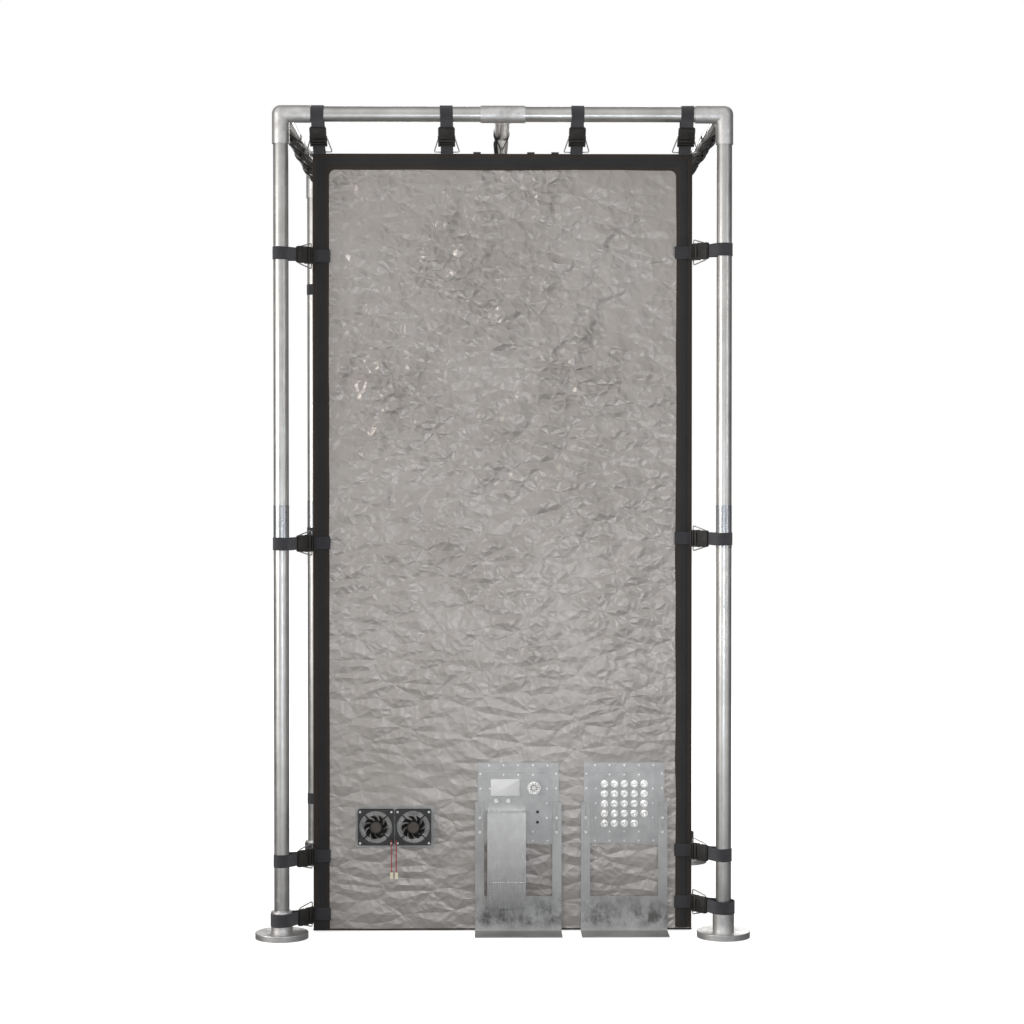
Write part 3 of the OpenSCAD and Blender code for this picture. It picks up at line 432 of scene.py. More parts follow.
paint_node(upright_metal, *corner_names("lower_pole"), *corner_names("upper_pole"))
paint_node(cross_metal, "front_rail_left", "front_rail_right", "rear_rail_left", "rear_rail_right")
paint_node(deep_metal, "side_rail_left", "side_rail_right", "centre_rail")
paint_node(coupling_metal, "pole_couplings")
paint_node(cast_material, "base_flanges", *corner_names("corner_elbow"), "rail_tees")
paint_node(dark_steel_material, "grub_screws")
paint_node(stand_material, "filter_stand", "feedthrough_stand")
paint_node(panel_material, "filter_clamp_frames", "feedthrough_clamp_frames", "filter_plate",
           "feedthrough_plate")
paint_node(nickel_material, "coax_connectors")
paint_node(box_material, "filter_box")
paint_node(screw_material, "fan_screws", "filter_panel_screws", "feedthrough_panel_screws")
# Partly painted shadow: the grey vent plate behind the fans reaches out to their right and below them, where
# their drop shadow falls on the cloth
paint_node(vent_plate_and_shadow_material, "fan_vent_plate")
paint_node(fan_material, "fan_housing_left", "fan_housing_right")
paint_node(plug_material, "fan_plug_left", "fan_plug_right")


# ---------------------------------------------------------------- mesh helpers

def mesh_piece(name, points, faces, materials, body=ROOT, replaces=(), slot=None, face_materials=None,
               coordinates=None, smooth=True, auto=None):
    mesh = bpy.data.meshes.new(name)
    mesh.from_pydata([tuple(map(float, p)) for p in points], [], [tuple(map(int, f)) for f in faces])
    for material in materials:
        mesh.materials.append(material)
    if face_materials is not None:
        mesh.polygons.foreach_set("material_index", np.asarray(face_materials, dtype=np.int32))
    mesh.polygons.foreach_set("use_smooth", np.full(len(mesh.polygons), smooth))
    if coordinates is not None:
        store = mesh.attributes.new("cloth", "FLOAT_VECTOR", "POINT")
        store.data.foreach_set("vector", np.asarray(coordinates, dtype=np.float32).ravel())
    mesh.update()
    piece = bpy.data.objects.new(name, mesh)
    bpy.context.scene.collection.objects.link(piece)
    if auto is not None:
        mesh.set_sharp_from_angle(angle=math.radians(auto))
    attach(piece, body)
    if replaces:
        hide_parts(*replaces)
    return piece


class Builder:
    """Collects points and faces of several solids into one mesh."""

    def __init__(self):
        self.points, self.faces, self.materials, self.coordinates = [], [], [], []
        self.count = 0

    def add(self, points, faces, material=0, coordinates=None, matrix=None):
        points = np.asarray(points, dtype=float)
        faces = [list(f) for f in faces]
        if matrix is not None:
            m = np.array(matrix)
            points = points @ m[:3, :3].T + m[:3, 3]
            if np.linalg.det(m[:3, :3]) < 0:
                faces = [f[::-1] for f in faces]
        self.points.append(points)
        self.faces += [[i + self.count for i in f] for f in faces]
        self.materials += [material] * len(faces)
        self.coordinates.append(np.zeros_like(points) if coordinates is None
                                else np.asarray(coordinates, float))
        self.count += len(points)

    def piece(self, name, materials, **settings):
        return mesh_piece(name, np.concatenate(self.points), self.faces, materials,
                          face_materials=self.materials, coordinates=np.concatenate(self.coordinates),
                          **settings)


def grid_faces(rows, columns, close_rows=False, close_columns=False):
    faces = []
    for i in range(rows if close_rows else rows - 1):
        for j in range(columns if close_columns else columns - 1):
            a, b = i * columns + j, i * columns + (j + 1) % columns
            c, d = ((i + 1) % rows) * columns + (j + 1) % columns, ((i + 1) % rows) * columns + j
            faces.append([a, b, c, d])
    return faces


def hashed(i, j, seed):
    """A repeatable number from 0 to 1 for each pair of whole numbers."""
    h = (i.astype(np.int64) * 374761393 + j.astype(np.int64) * 668265263 + seed * 2246822519) & 0xFFFFFFFF
    h = ((h ^ (h >> 13)) * 1274126177) & 0xFFFFFFFF
    h = ((h ^ (h >> 16)) * 2654435761) & 0xFFFFFFFF
    return ((h ^ (h >> 15)) & 0xFFFFFF) / float(0x1000000)


def swell(u, v, cell, seed):
    """Smooth noise of 0 to 1 with features of about one cell."""
    x, y = u / cell, v / cell
    i, j = np.floor(x), np.floor(y)
    fx, fy = x - i, y - j
    fx, fy = fx * fx * (3 - 2 * fx), fy * fy * (3 - 2 * fy)
    top = hashed(i, j, seed) * (1 - fx) + hashed(i + 1, j, seed) * fx
    bottom = hashed(i, j + 1, seed) * (1 - fx) + hashed(i + 1, j + 1, seed) * fx
    return top * (1 - fy) + bottom * fy


def facets(u, v, cell, seed, crease=11.0):
    """Heights, in cells, of a sheet folded into flat leaning facets, longest along the rising diagonal."""
    angle = math.radians(50)
    x = (u * math.cos(angle) + v * math.sin(angle)) / (cell * 1.45)
    y = (v * math.cos(angle) - u * math.sin(angle)) / (cell * 0.8)
    i, j = np.floor(x), np.floor(y)
    total, weight = np.zeros_like(u), np.zeros_like(u)
    for di in (-1, 0, 1):
        for dj in (-1, 0, 1):
            ci, cj = i + di, j + dj
            dx = x - ci - 0.1 - 0.8 * hashed(ci, cj, seed)
            dy = y - cj - 0.1 - 0.8 * hashed(ci, cj, seed + 1)
            lean = (hashed(ci, cj, seed + 2) - 0.5) * dx + (hashed(ci, cj, seed + 3) - 0.5) * dy
            share = np.exp(-crease * (dx * dx + dy * dy))
            total += share * (lean + 0.3 * (hashed(ci, cj, seed + 4) - 0.5))
            weight += share
    return total / weight


def crumple(u, v, seed):
    """Heights of crumpled metallised cloth, in metres, centred on about zero."""
    wu = u + 0.06 * (swell(u, v, 0.13, seed) - 0.5)
    wv = v + 0.06 * (swell(u, v, 0.13, seed + 5) - 0.5)
    large = facets(wu, wv, 0.21, seed + 10)
    middle = facets(wu, wv, 0.095, seed + 20)
    small = facets(wu, wv, 0.048, seed + 30, 8.0)
    broad = swell(u, v, 0.55, seed + 40) - 0.5
    calm = (0.55 + 0.7 * swell(u, v, 0.35, seed + 50)) * (0.3 + 1.15 * fade(v - 0.7, 1.1))
    return calm * (0.011 * large + 0.009 * middle + 0.0042 * small) + 0.004 * broad


# ---------------------------------------------------------------- fan leads

def lead(name, node):
    low, high = corners_of(node)
    x, y = (low.x + high.x) / 2, (low.y + high.y) / 2
    curve = bpy.data.curves.new(name, "CURVE")
    curve.dimensions = "3D"
    curve.bevel_depth = (high.x - low.x) / 2
    curve.bevel_resolution = 3
    steps = 20
    spline = curve.splines.new("POLY")
    spline.points.add(steps)
    for i, point in enumerate(spline.points):
        t = i / steps
        wander = 0.0006 * math.sin(2 * math.pi * t) * math.sin(math.pi * t)
        point.co = (x + wander, y, high.z + (low.z - high.z) * t, 1)
    curve.materials.append(red_material)
    piece = bpy.data.objects.new(name, curve)
    bpy.context.scene.collection.objects.link(piece)
    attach(piece, ROOT)
    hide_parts(node)


lead("red_lead_left", "fan_lead_left")
lead("red_lead_right", "fan_lead_right")


# ---------------------------------------------------------------- cloth walls

def fade(distance, over):
    """0 up to an edge, rising smoothly to 1 at the stated distance inside it."""
    t = np.clip(distance / over, 0, 1)
    return t * t * (3 - 2 * t)


# How far the crumpled cloth may sink behind its CAD face and stand out of it, how wide the flat border is
# along a panel's edge, and over what distance the relief rises from the border and from a calm rectangle.
SINK, RISE = 0.014, 0.006
BORDER, BORDER_RISE, CALM_RISE = 0.03, 0.09, 0.05
# The side of one mesh cell of the front wall, which is seen closest, and of the others.
FINE_STEP, STEP = 0.0075, 0.0125


def cloth_panel(name, node, place, u_range, v_range, step, seed, outward, holes=(), calm=(), **settings):
    """A crumpled sheet. place(u, v, h) puts a point of the sheet into the row frame, h metres proud of it.
    holes are cut out, and in the calm rectangles the sheet lies flat: each is (u0, u1, v0, v1)."""
    nu = int(round((u_range[1] - u_range[0]) / step)) + 1
    nv = int(round((v_range[1] - v_range[0]) / step)) + 1
    u, v = np.meshgrid(np.linspace(*u_range, nu), np.linspace(*v_range, nv))
    edge = np.minimum.reduce([u - u_range[0], u_range[1] - u, v - v_range[0], v_range[1] - v])
    strength = fade(edge - BORDER, BORDER_RISE)
    for u0, u1, v0, v1 in calm:
        du = np.maximum.reduce([u0 - u, u - u1, np.zeros_like(u)])
        dv = np.maximum.reduce([v0 - v, v - v1, np.zeros_like(v)])
        strength = strength * fade(np.hypot(du, dv), CALM_RISE)
    height = np.clip(crumple(u, v, seed) + outward, -SINK, RISE) * strength
    points = np.stack([c.ravel() for c in place(u, v, height)], axis=1)
    faces = np.array(grid_faces(nv, nu))
    keep = np.ones(len(faces), dtype=bool)
    cu, cv = u.ravel()[faces].mean(axis=1), v.ravel()[faces].mean(axis=1)
    for u0, u1, v0, v1 in holes:
        keep &= ~((cu > u0) & (cu < u1) & (cv > v0) & (cv < v1))
    flat = np.stack([u.ravel(), v.ravel(), np.zeros(u.size)], axis=1)
    piece = mesh_piece(name, points, faces[keep], [cloth_material], replaces=(node,), slot="silver_cloth",
                       coordinates=flat, **settings)
    flat = (u_range[1] - u_range[0], v_range[1] - v_range[0])
    return piece


def around(node, margin):
    low, high = corners_of(node)
    return (low.x - margin, high.x + margin, low.z - margin, high.z + margin)


CLAMP_W = 0.034
DOOR_LAP = 0.012


Z0, Z1 = CLOTH_T, TENT_H - CLOTH_T / 2
cloth_panel("cloth_front", "tent_front_wall", lambda u, v, h: (u, -WALL_Y - h + 0 * u, v), (-WALL_X, WALL_X),
            (Z0, Z1), FINE_STEP, 3, 0.0,
            holes=[around("filter_clamp_frames", -CLAMP_W), around("feedthrough_clamp_frames", -CLAMP_W)],
            calm=[around("filter_clamp_frames", 0.006), around("feedthrough_clamp_frames", 0.006),
                  around("fan_vent_plate", 0.004)])
cloth_panel("cloth_left", "tent_left_wall", lambda u, v, h: (-WALL_X - h, u, v), (-WALL_Y, WALL_Y), (Z0, Z1),
            STEP, 13, 0.0)
cloth_panel("cloth_right", "tent_right_wall", lambda u, v, h: (WALL_X + h, u, v), (-WALL_Y, WALL_Y), (Z0, Z1),
            STEP, 23, 0.0)
cloth_panel("cloth_roof", "tent_roof", lambda u, v, h: (u, v, TENT_H + h), (-WALL_X, WALL_X),
            (-WALL_Y, WALL_Y), STEP, 33, -0.002)
cloth_panel("cloth_rear", "tent_rear_wall", lambda u, v, h: (u, WALL_Y + h, v), (-WALL_X, WALL_X), (Z0, Z1),
            STEP, 43, 0.0, holes=[around("tent_door", -DOOR_LAP)],
            calm=[around("tent_door", 0.01)])
cloth_panel("cloth_door", "tent_door", lambda u, v, h: (u, door_high.y - 0.0005 + h * 0.7, v),
            (door_low.x, door_high.x), (door_low.z, door_high.z), STEP, 53, -0.002, body="door")


# ---------------------------------------------------------------- groundsheet

def groundsheet():
    """A thin tray of dark coated cloth, turned up at its rim behind the walls."""
    n = 60
    xs = np.linspace(-WALL_X + 0.002, WALL_X - 0.002, n)
    ys = np.linspace(-WALL_Y + 0.002, WALL_Y - 0.002, n)
    x, y = np.meshgrid(xs, ys)
    z = CLOTH_T * 0.5 + 0.001 * swell(x, y, 0.12, 71)
    rim = np.minimum.reduce([x - xs[0], xs[-1] - x, y - ys[0], ys[-1] - y])
    z = np.where(rim < 1e-6, CLOTH_T + 0.012, z)
    points = np.stack([x.ravel(), y.ravel(), z.ravel()], axis=1)
    piece = mesh_piece("groundsheet", points, grid_faces(n, n), [groundsheet_material],
                       replaces=("tent_floor",), slot="groundsheet")


groundsheet()


# ---------------------------------------------------------------- dark edge binding

BAND_W = 0.052
TAPE_IN, TAPE_OUT = 0.016, 0.041


def band_section():
    """(inward offset on the face, depth behind the face, material) across a binding, from wrap to hem."""
    section = [(0.0, 0.054, 0), (0.0, 0.036, 0), (0.0, 0.018, 0), (0.0, 0.003, 0), (0.0012, 0.0006, 0)]
    section += [(s, -0.0001, 0) for s in (0.004, 0.009, 0.0145)]
    section += [(TAPE_IN, -0.0002, 1), (TAPE_IN + 0.0006, -0.0011, 1), (0.022, -0.0013, 1),
                (0.0285, -0.0016, 1), (0.035, -0.0013, 1), (TAPE_OUT - 0.0006, -0.0011, 1),
                (TAPE_OUT, -0.0002, 0)]
    return section + [(0.044, 0.0, 0), (0.048, 0.0001, 0), (0.0512, 0.0005, 0), (0.0522, 0.0012, 0),
                      (0.0522, 0.003, 0)]


BINDING_STEP = 0.02


def face_binding(builder, front, seed):
    """The U of binding round one face: up its left edge, over and down its right edge."""
    section = band_section()
    half, top, low = WALL_X + BAND_T, TENT_H + BAND_T, binding_low.z
    stations = [(-1, z) for z in np.arange(low, top - 0.075, BINDING_STEP)]
    corner = [("arc", -1, a) for a in np.linspace(0, 90, 9)]
    across = [("top", x) for x in np.arange(-half + 0.08, half - 0.075, BINDING_STEP)]
    back = [("arc", 1, a) for a in np.linspace(90, 0, 9)]
    down = [(1, z) for z in np.arange(top - 0.08, low - 0.001, -BINDING_STEP)]
    points, store = [], []
    along = 0.0
    path = stations + corner + across + back + down
    for station in path:
        along += BINDING_STEP
        for s, depth, _ in section:
            bow = 0.0014 * (swell(np.array([along]), np.array([s * 3]), 0.09, seed)[0] - 0.5)
            wander = swell(np.array([along]), np.array([0.0]), 0.13, seed + 3)[0] - 0.5
            drift = (0.0045 if station[0] == 1 else 0.0022) * wander * max(0.0, s - 0.03) / 0.022
            inward = s + drift
            r = 0.002 + 0.018 * min(1.0, s / BAND_W)
            cx, cz = half - inward - r, top - inward - r
            if station[0] == "top":
                x = max(-cx, min(cx, station[1]))
                z = top if s == 0.0 else top - inward
            elif station[0] == "arc":
                side, a = station[1], math.radians(station[2])
                x = side * (cx + r * math.cos(a))
                z = cz + r * math.sin(a)
            else:
                x, z = station[0] * (half - inward), min(station[1], cz)
            y = -(WALL_Y + BAND_T) + depth - (bow if depth < 0.002 else 0.0)
            points.append((x, y if front else -y, z))
            store.append((along, s + depth, 0))
    columns = len(section)
    faces = grid_faces(len(path), columns)
    if front:
        faces = [f[::-1] for f in faces]
    before = len(builder.materials)
    builder.add(points, faces, 0, store)
    builder.materials[before:] = [material for _, _, material in section[:-1]] * (len(path) - 1)


def side_binding(builder, side, seed):
    """The strip over the roof's side edge, between the two U's."""
    section = [(0.054, -1), (0.036, -1), (0.018, -1), (0.003, -1), (0.0012, 0), (0.003, 1), (0.018, 1),
               (0.036, 1), (0.052, 1), (0.0525, 2)]
    points, store = [], []
    ys = np.arange(-WALL_Y + 0.05, WALL_Y - 0.049, BINDING_STEP)
    for y in ys:
        for s, face in section:
            bow = 0.0012 * swell(np.array([y]), np.array([s * 3]), 0.09, seed)[0]
            if face == -1:
                x, z = WALL_X + BAND_T - bow, TENT_H + BAND_T - s
            elif face == 0:
                x, z = WALL_X + BAND_T - 0.0006, TENT_H + BAND_T - 0.0006
            elif face == 1:
                x, z = WALL_X + BAND_T - s, TENT_H + BAND_T - bow
            else:
                x, z = WALL_X + BAND_T - s, TENT_H
            points.append((side * x, y, z))
            store.append((y, s, 0))
    faces = grid_faces(len(ys), len(section))
    if side < 0:
        faces = [f[::-1] for f in faces]
    builder.add(points, faces, 0, store)


def foot_hem(builder):
    """A narrow rolled hem round the foot of the walls."""
    r, z = 0.0026, binding_low.z + 0.003
    half_x, half_y = WALL_X + 0.001, WALL_Y + 0.001
    corners = [(-half_x, -half_y), (half_x, -half_y), (half_x, half_y), (-half_x, half_y)]
    ring = []
    for k in range(4):
        a, b = np.array(corners[k]), np.array(corners[(k + 1) % 4])
        for t in np.linspace(0, 1, 40, endpoint=False):
            ring.append(a + (b - a) * t)
    points = []
    for k, p in enumerate(ring):
        lift = 0.0008 * math.sin(k * 0.7) * math.sin(k * 0.23)
        for angle in np.linspace(0, 2 * math.pi, 8, endpoint=False):
            outward = r * math.cos(angle) * 0.8
            scale = 1 + outward / max(abs(p[0]), abs(p[1]))
            points.append((p[0] * scale, p[1] * scale, z + lift + r * math.sin(angle)))
    builder.add(points, grid_faces(len(ring), 8, close_rows=True, close_columns=True), 0)


def edge_bindings():
    b = Builder()
    face_binding(b, True, 101)
    face_binding(b, False, 131)
    side_binding(b, -1, 151)
    side_binding(b, 1, 161)
    foot_hem(b)
    b.piece("edge_binding_cloth", [binding_material, tape_material], replaces=("edge_bindings",),
            slot="binding")


edge_bindings()


# ---------------------------------------------------------------- hangers

# The hangers' sizes, which the frame can't give: webbing, buckle and ring, as in the CAD model.
WEB_W, WEB_T = 0.040, 0.0016
WIRE_R = 0.002
LOOP_GAP = 0.0002
RING_REACH, RING_STANDOFF = 0.054, 0.008
RING_WIDE, RING_NARROW = 0.081, 0.051
TAIL_Y, TAIL_L = 0.0058, 0.052
BUCKLE_L, BUCKLE_W, BUCKLE_T, BUCKLE_Y = 0.075, 0.056, 0.012, 0.0074
HUB_R = 0.034
HANGER_Z = {-1: (0.058, 0.245, 1.248, 2.164), 1: (0.095, 0.261, 1.263, 2.177)}
FRONT_X = (-0.584, -0.178, 0.236, 0.582)
SIDE_Y = (-0.535, -0.180, 0.180, 0.535)
CENTRE_Y = (-0.290, 0.290)
GAP_X, GAP_Z = POLE_X - WALL_X, RAIL_Z - TENT_H


def turn(degrees, axis):
    return Matrix.Rotation(math.radians(degrees), 4, axis)


def hangers():
    """Every hanger as (matrix, reach, wrapped radius, tail length, kind), as the CAD model places them."""
    found = []
    for sx in (-1, 1):
        for sy in (-1, 1):
            flip = Matrix.Diagonal((sx, -sy, 1, 1))
            for z in HANGER_Z[sx]:
                radius = HUB_R if z - WEB_W / 2 < HUB_TOP else PIPE_R
                if COUPLING_LOW < z < COUPLING_HIGH:
                    radius = PIPE_R + 0.0006
                spot = flip @ Matrix.Translation((POLE_X, -POLE_Y, z)) @ turn(135, "Z")
                found.append((spot, math.sqrt(2) * GAP_X, radius, TAIL_L, "pole"))
    drop = math.degrees(math.atan2(GAP_Z, GAP_X))

    def rail(x):
        return Matrix.Translation((x, -POLE_Y, RAIL_Z)) @ turn(-drop, "X") @ turn(90, "Z") @ turn(-90, "X")

    slope = math.hypot(GAP_X, GAP_Z)
    for half in (0, 180):
        for x in FRONT_X:
            found.append((turn(half, "Z") @ rail(-x if half else x), slope, PIPE_R, 0.0, "rail"))
        for x in SIDE_Y:
            found.append((turn(half, "Z") @ turn(90, "Z") @ rail(x), slope, PIPE_R, 0.0, "rail"))
    for y in CENTRE_Y:
        spot = Matrix.Translation((0, y, RAIL_Z)) @ (turn(90, "Z") @ turn(90, "Y"))
        found.append((spot, GAP_Z, PIPE_R, 0.0, "centre"))
    return found


def unit_rows(vectors):
    return vectors / np.linalg.norm(vectors, axis=1)[:, None]


def ribbon(builder, line, closed, matrix, seed, width=WEB_W):
    """Webbing along a line in the hanger's own X-Y plane, with soft edges and a little play."""
    line = np.asarray(line, float)
    n = len(line)
    ahead = np.roll(line, -1, 0) - line
    if not closed:
        ahead[-1] = ahead[-2]
    behind = np.roll(ahead, 1, 0)
    if not closed:
        behind[0] = ahead[0]
    tangent = unit_rows(unit_rows(ahead) + unit_rows(behind))
    normal = np.stack([tangent[:, 1], -tangent[:, 0]], axis=1)
    length = np.concatenate([[0], np.cumsum(np.linalg.norm(np.diff(line, axis=0), axis=1))])
    half, t = width / 2, WEB_T / 2
    across = [-half, -half + 0.0006, -half * 0.6, -half * 0.2, half * 0.2, half * 0.6, half - 0.0006, half]
    section = [(w, t * (0.35 if abs(w) == half else 1)) for w in across]
    section += [(w, -h) for w, h in reversed(section)]
    points, store = [], []
    for k in range(n):
        for w, h in section:
            ripple = 0.0005 * (swell(np.array([length[k] + seed]), np.array([w]), 0.02, 7 + seed)[0] - 0.5)
            skew = 0.0007 * math.sin(length[k] * 55 + seed * 1.7)
            p = line[k] + normal[k] * (h + ripple)
            points.append((p[0], p[1], w + skew))
            store.append((length[k], w, 0))
    faces = grid_faces(n, len(section), close_rows=closed, close_columns=True)
    if not closed:
        faces += [list(range(len(section))), list(range((n - 1) * len(section), n * len(section)))[::-1]]
    builder.add(points, faces, 0, store, matrix)


def belt_line(r0, r1, d):
    """The centreline of a tight belt round circles of radius r0 at 0 and r1 at d."""
    a = math.acos((r0 - r1) / d)
    big = [(r0 * math.cos(t), r0 * math.sin(t)) for t in np.linspace(a, 2 * math.pi - a, 34)]
    small = [(d + r1 * math.cos(t), r1 * math.sin(t)) for t in np.linspace(-a, a, 12)]
    line = []
    for p, q in ((big, small), (small, big)):
        line += p
        start, end = np.array(p[-1]), np.array(q[0])
        line += [tuple(start + (end - start) * t) for t in (0.2, 0.4, 0.6, 0.8)]
    return line


def rounded(points, radius, steps=5):
    """A polyline in 2-D or 3-D with its inner corners rounded."""
    points = [np.asarray(p, float) for p in points]
    line = [points[0]]
    for a, b, c in zip(points, points[1:], points[2:]):
        into, out = (a - b) / np.linalg.norm(a - b), (c - b) / np.linalg.norm(c - b)
        reach = min(radius, np.linalg.norm(a - b) * 0.45, np.linalg.norm(c - b) * 0.45)
        for t in np.linspace(0, 1, steps):
            line.append((b + into * reach) * (1 - t) ** 2 + 2 * b * t * (1 - t) + (b + out * reach) * t ** 2)
    line.append(points[-1])
    return line


def face_height(reach, r, x):
    bar = reach - RING_STANDOFF - RING_REACH
    ro = r + LOOP_GAP + WEB_T
    s = (ro - WIRE_R - LOOP_GAP - WEB_T) / bar
    return ro / math.sqrt(1 - s * s) - x * s / math.sqrt(1 - s * s)


BUCKLE_X = {"pole": 0.050, "rail": 0.033, "centre": 0.027}


def buckle_matrix(spot, reach, radius, kind):
    x0 = BUCKLE_X[kind]
    y0 = max(face_height(reach, radius, x0) + 0.0006, BUCKLE_Y)
    lean = math.degrees(math.atan2(BUCKLE_Y - y0, BUCKLE_L))
    return spot @ Matrix.Translation((x0, y0, 0)) @ turn(lean, "Z"), y0


def strap(builder, spot, reach, radius, tail, kind, seed):
    bar = reach - RING_STANDOFF - RING_REACH
    r0, r1 = radius + LOOP_GAP + WEB_T / 2, WIRE_R + LOOP_GAP + WEB_T / 2
    ribbon(builder, belt_line(r0, r1, bar), True, spot, seed)
    # The adjusting length: from the ring's bar under the buckle to the tent's edge, and its loose end
    bend = np.array([reach - 0.003, TAIL_Y])
    corner = [np.array([bar, r1 + 0.0006]), np.array([bar + 0.014, TAIL_Y]), bend]
    if tail:
        corner.append(bend + tail * np.array([math.cos(math.radians(45)), math.sin(math.radians(45))]))
    line, bends = [], rounded(corner, 0.008)
    for p, q in zip(bends, bends[1:]):
        steps = max(1, int(np.linalg.norm(q - p) / 0.008))
        line += [p + (q - p) * i / steps for i in range(steps)]
    line.append(corner[-1])
    ribbon(builder, line, False, spot, seed + 3)
    # A second ply of the strap laid round the tube over the first, with its end tucked under the buckle
    matrix, y0 = buckle_matrix(spot, reach, radius, kind)
    outer = r0 + WEB_T * 1.15
    start = math.degrees(math.acos(min(1.0, (r0 - r1) / bar)))
    arc = [(outer * math.cos(math.radians(a)), outer * math.sin(math.radians(a)))
           for a in np.linspace(start + 128, start, 18)]
    end = (BUCKLE_X[kind] + 0.006, y0 + 0.0016)
    path = arc + [tuple(np.array(arc[-1]) * (1 - t) + np.array(end) * t) for t in (0.25, 0.5, 0.75, 1.0)]
    ribbon(builder, path, False, spot, seed + 6)


def prism(outline, low, high, bevel):
    """A solid over an outline in X-Z between two depths, with its edges eased by the bevel."""
    outline = np.asarray(outline, float)
    n = len(outline)
    middle = outline.mean(axis=0)
    levels = [(low, bevel), (low + bevel * 0.35, bevel * 0.35), (low + bevel, 0), (high - bevel, 0),
              (high - bevel * 0.35, bevel * 0.35), (high, bevel)]
    points = []
    for depth, inset in levels:
        for p in outline:
            direction = p - middle
            q = p - direction / max(np.linalg.norm(direction), 1e-9) * inset
            points.append((q[0], depth, q[1]))
    faces = grid_faces(len(levels), n, close_columns=True)
    faces += [list(range(n))[::-1], list(range((len(levels) - 1) * n, len(levels) * n))]
    return points, faces


def block(x0, x1, y0, y1, z0, z1, bevel=0.0008):
    outline = [(x0 + bevel, z0), (x1 - bevel, z0), (x1, z0 + bevel), (x1, z1 - bevel), (x1 - bevel, z1),
               (x0 + bevel, z1), (x0, z1 - bevel), (x0, z0 + bevel)]
    return prism(outline, y0, y1, min(bevel, (y1 - y0) / 3))


def buckle(builder, matrix):
    """A side-release buckle: socket towards the tube, plug with two sprung prongs, and a ladder bar."""
    w, l, t = BUCKLE_W / 2, BUCKLE_L, BUCKLE_T
    parts = []
    # Socket shell: two faces, two side walls that stop short of the thumb openings, and an end bar
    for y0, y1 in ((0.0, 0.0022), (t - 0.0022, t)):
        outline = [(0.004, -w + 0.004), (0.010, -w + 0.002), (0.030, -w + 0.0015), (0.0355, -w + 0.007),
                   (0.040, -w + 0.009), (0.0415, -w + 0.014), (0.0415, w - 0.014), (0.040, w - 0.009),
                   (0.0355, w - 0.007), (0.030, w - 0.0015), (0.010, w - 0.002), (0.004, w - 0.004)]
        parts.append(prism(outline, y0, y1, 0.0008))
    parts.append(block(0.0, 0.0045, 0.0015, t - 0.0015, -w + 0.004, w - 0.004))
    for s in (-1, 1):
        z0, z1 = sorted((s * (w - 0.0045), s * (w - 0.0015)))
        parts.append(block(0.004, 0.023, 0.0008, t - 0.0008, z0, z1))
        parts.append(block(0.010, 0.040, 0.0026, t - 0.0026, *sorted((s * 0.0105, s * 0.0135))))
    # Raised pad on the socket's face
    parts.append(prism([(0.010, -0.013), (0.028, -0.013), (0.031, -0.009), (0.031, 0.009), (0.028, 0.013),
                        (0.010, 0.013)], t - 0.0004, t + 0.0006, 0.0005))
    # Plug: prongs that bulge out of the openings, a shoulder, and the ladder frame
    for s in (-1, 1):
        prong = [(0.024, s * (w - 0.010)), (0.030, s * (w - 0.0035)), (0.0375, s * w),
                 (0.0455, s * (w - 0.0005)), (0.050, s * (w - 0.006)), (0.050, s * (w - 0.013)),
                 (0.036, s * (w - 0.013))]
        parts.append(prism(prong if s > 0 else prong[::-1], 0.0026, t - 0.0026, 0.0009))
        z0, z1 = sorted((s * (w - 0.0055), s * (w - 0.001)))
        parts.append(block(0.050, l, 0.001, t - 0.001, z0, z1))
    parts.append(block(0.0465, 0.055, 0.0006, t - 0.0006, -w + 0.002, w - 0.002))
    parts.append(block(0.0605, 0.0645, 0.002, t - 0.0015, -w + 0.003, w - 0.003))
    parts.append(block(l - 0.005, l, 0.001, t - 0.0025, -w + 0.002, w - 0.002))
    for points, faces in parts:
        builder.add(points, faces, 0, None, matrix)


def wire_ring(builder, spot, reach):
    """A trapezoid of bent wire, its two ends meeting on the wide side."""
    x1 = reach - RING_STANDOFF
    x0 = x1 - RING_REACH
    narrow, wide = RING_NARROW / 2, RING_WIDE / 2
    corners = [(x1, 0, 0.004), (x1, 0, wide), (x0, 0, narrow), (x0, 0, -narrow), (x1, 0, -wide),
               (x1, 0, -0.004)]
    line = rounded(corners, 0.007, 7)
    n, sides = len(line), 10
    points = []
    for k in range(n):
        tangent = line[min(k + 1, n - 1)] - line[max(k - 1, 0)]
        tangent = tangent / np.linalg.norm(tangent)
        across = np.cross(tangent, (0, 1, 0))
        for a in np.linspace(0, 2 * math.pi, sides, endpoint=False):
            points.append(line[k] + WIRE_R * (math.cos(a) * across + math.sin(a) * np.array([0, 1.0, 0])))
    faces = grid_faces(n, sides, close_columns=True)
    faces = [f[::-1] for f in faces]
    faces += [list(range(sides)), list(range((n - 1) * sides, n * sides))[::-1]]
    builder.add(points, faces, 0, None, spot)


def sewn_tab(builder, spot, reach, kind, seed):
    """A short folded tape that holds the ring's wide side on the tent's edge."""
    x1 = reach - RING_STANDOFF
    r = WIRE_R + 0.0009
    end = reach - (0 if kind == "centre" else 0.0028)
    fold = np.linspace(math.radians(35), math.radians(325), 14)
    line = [(end, 0.0012)] + [(x1 + r * math.cos(a), r * math.sin(a)) for a in fold] + [(end, -0.0012)]
    ribbon(builder, line, False, spot, seed, width=0.038)


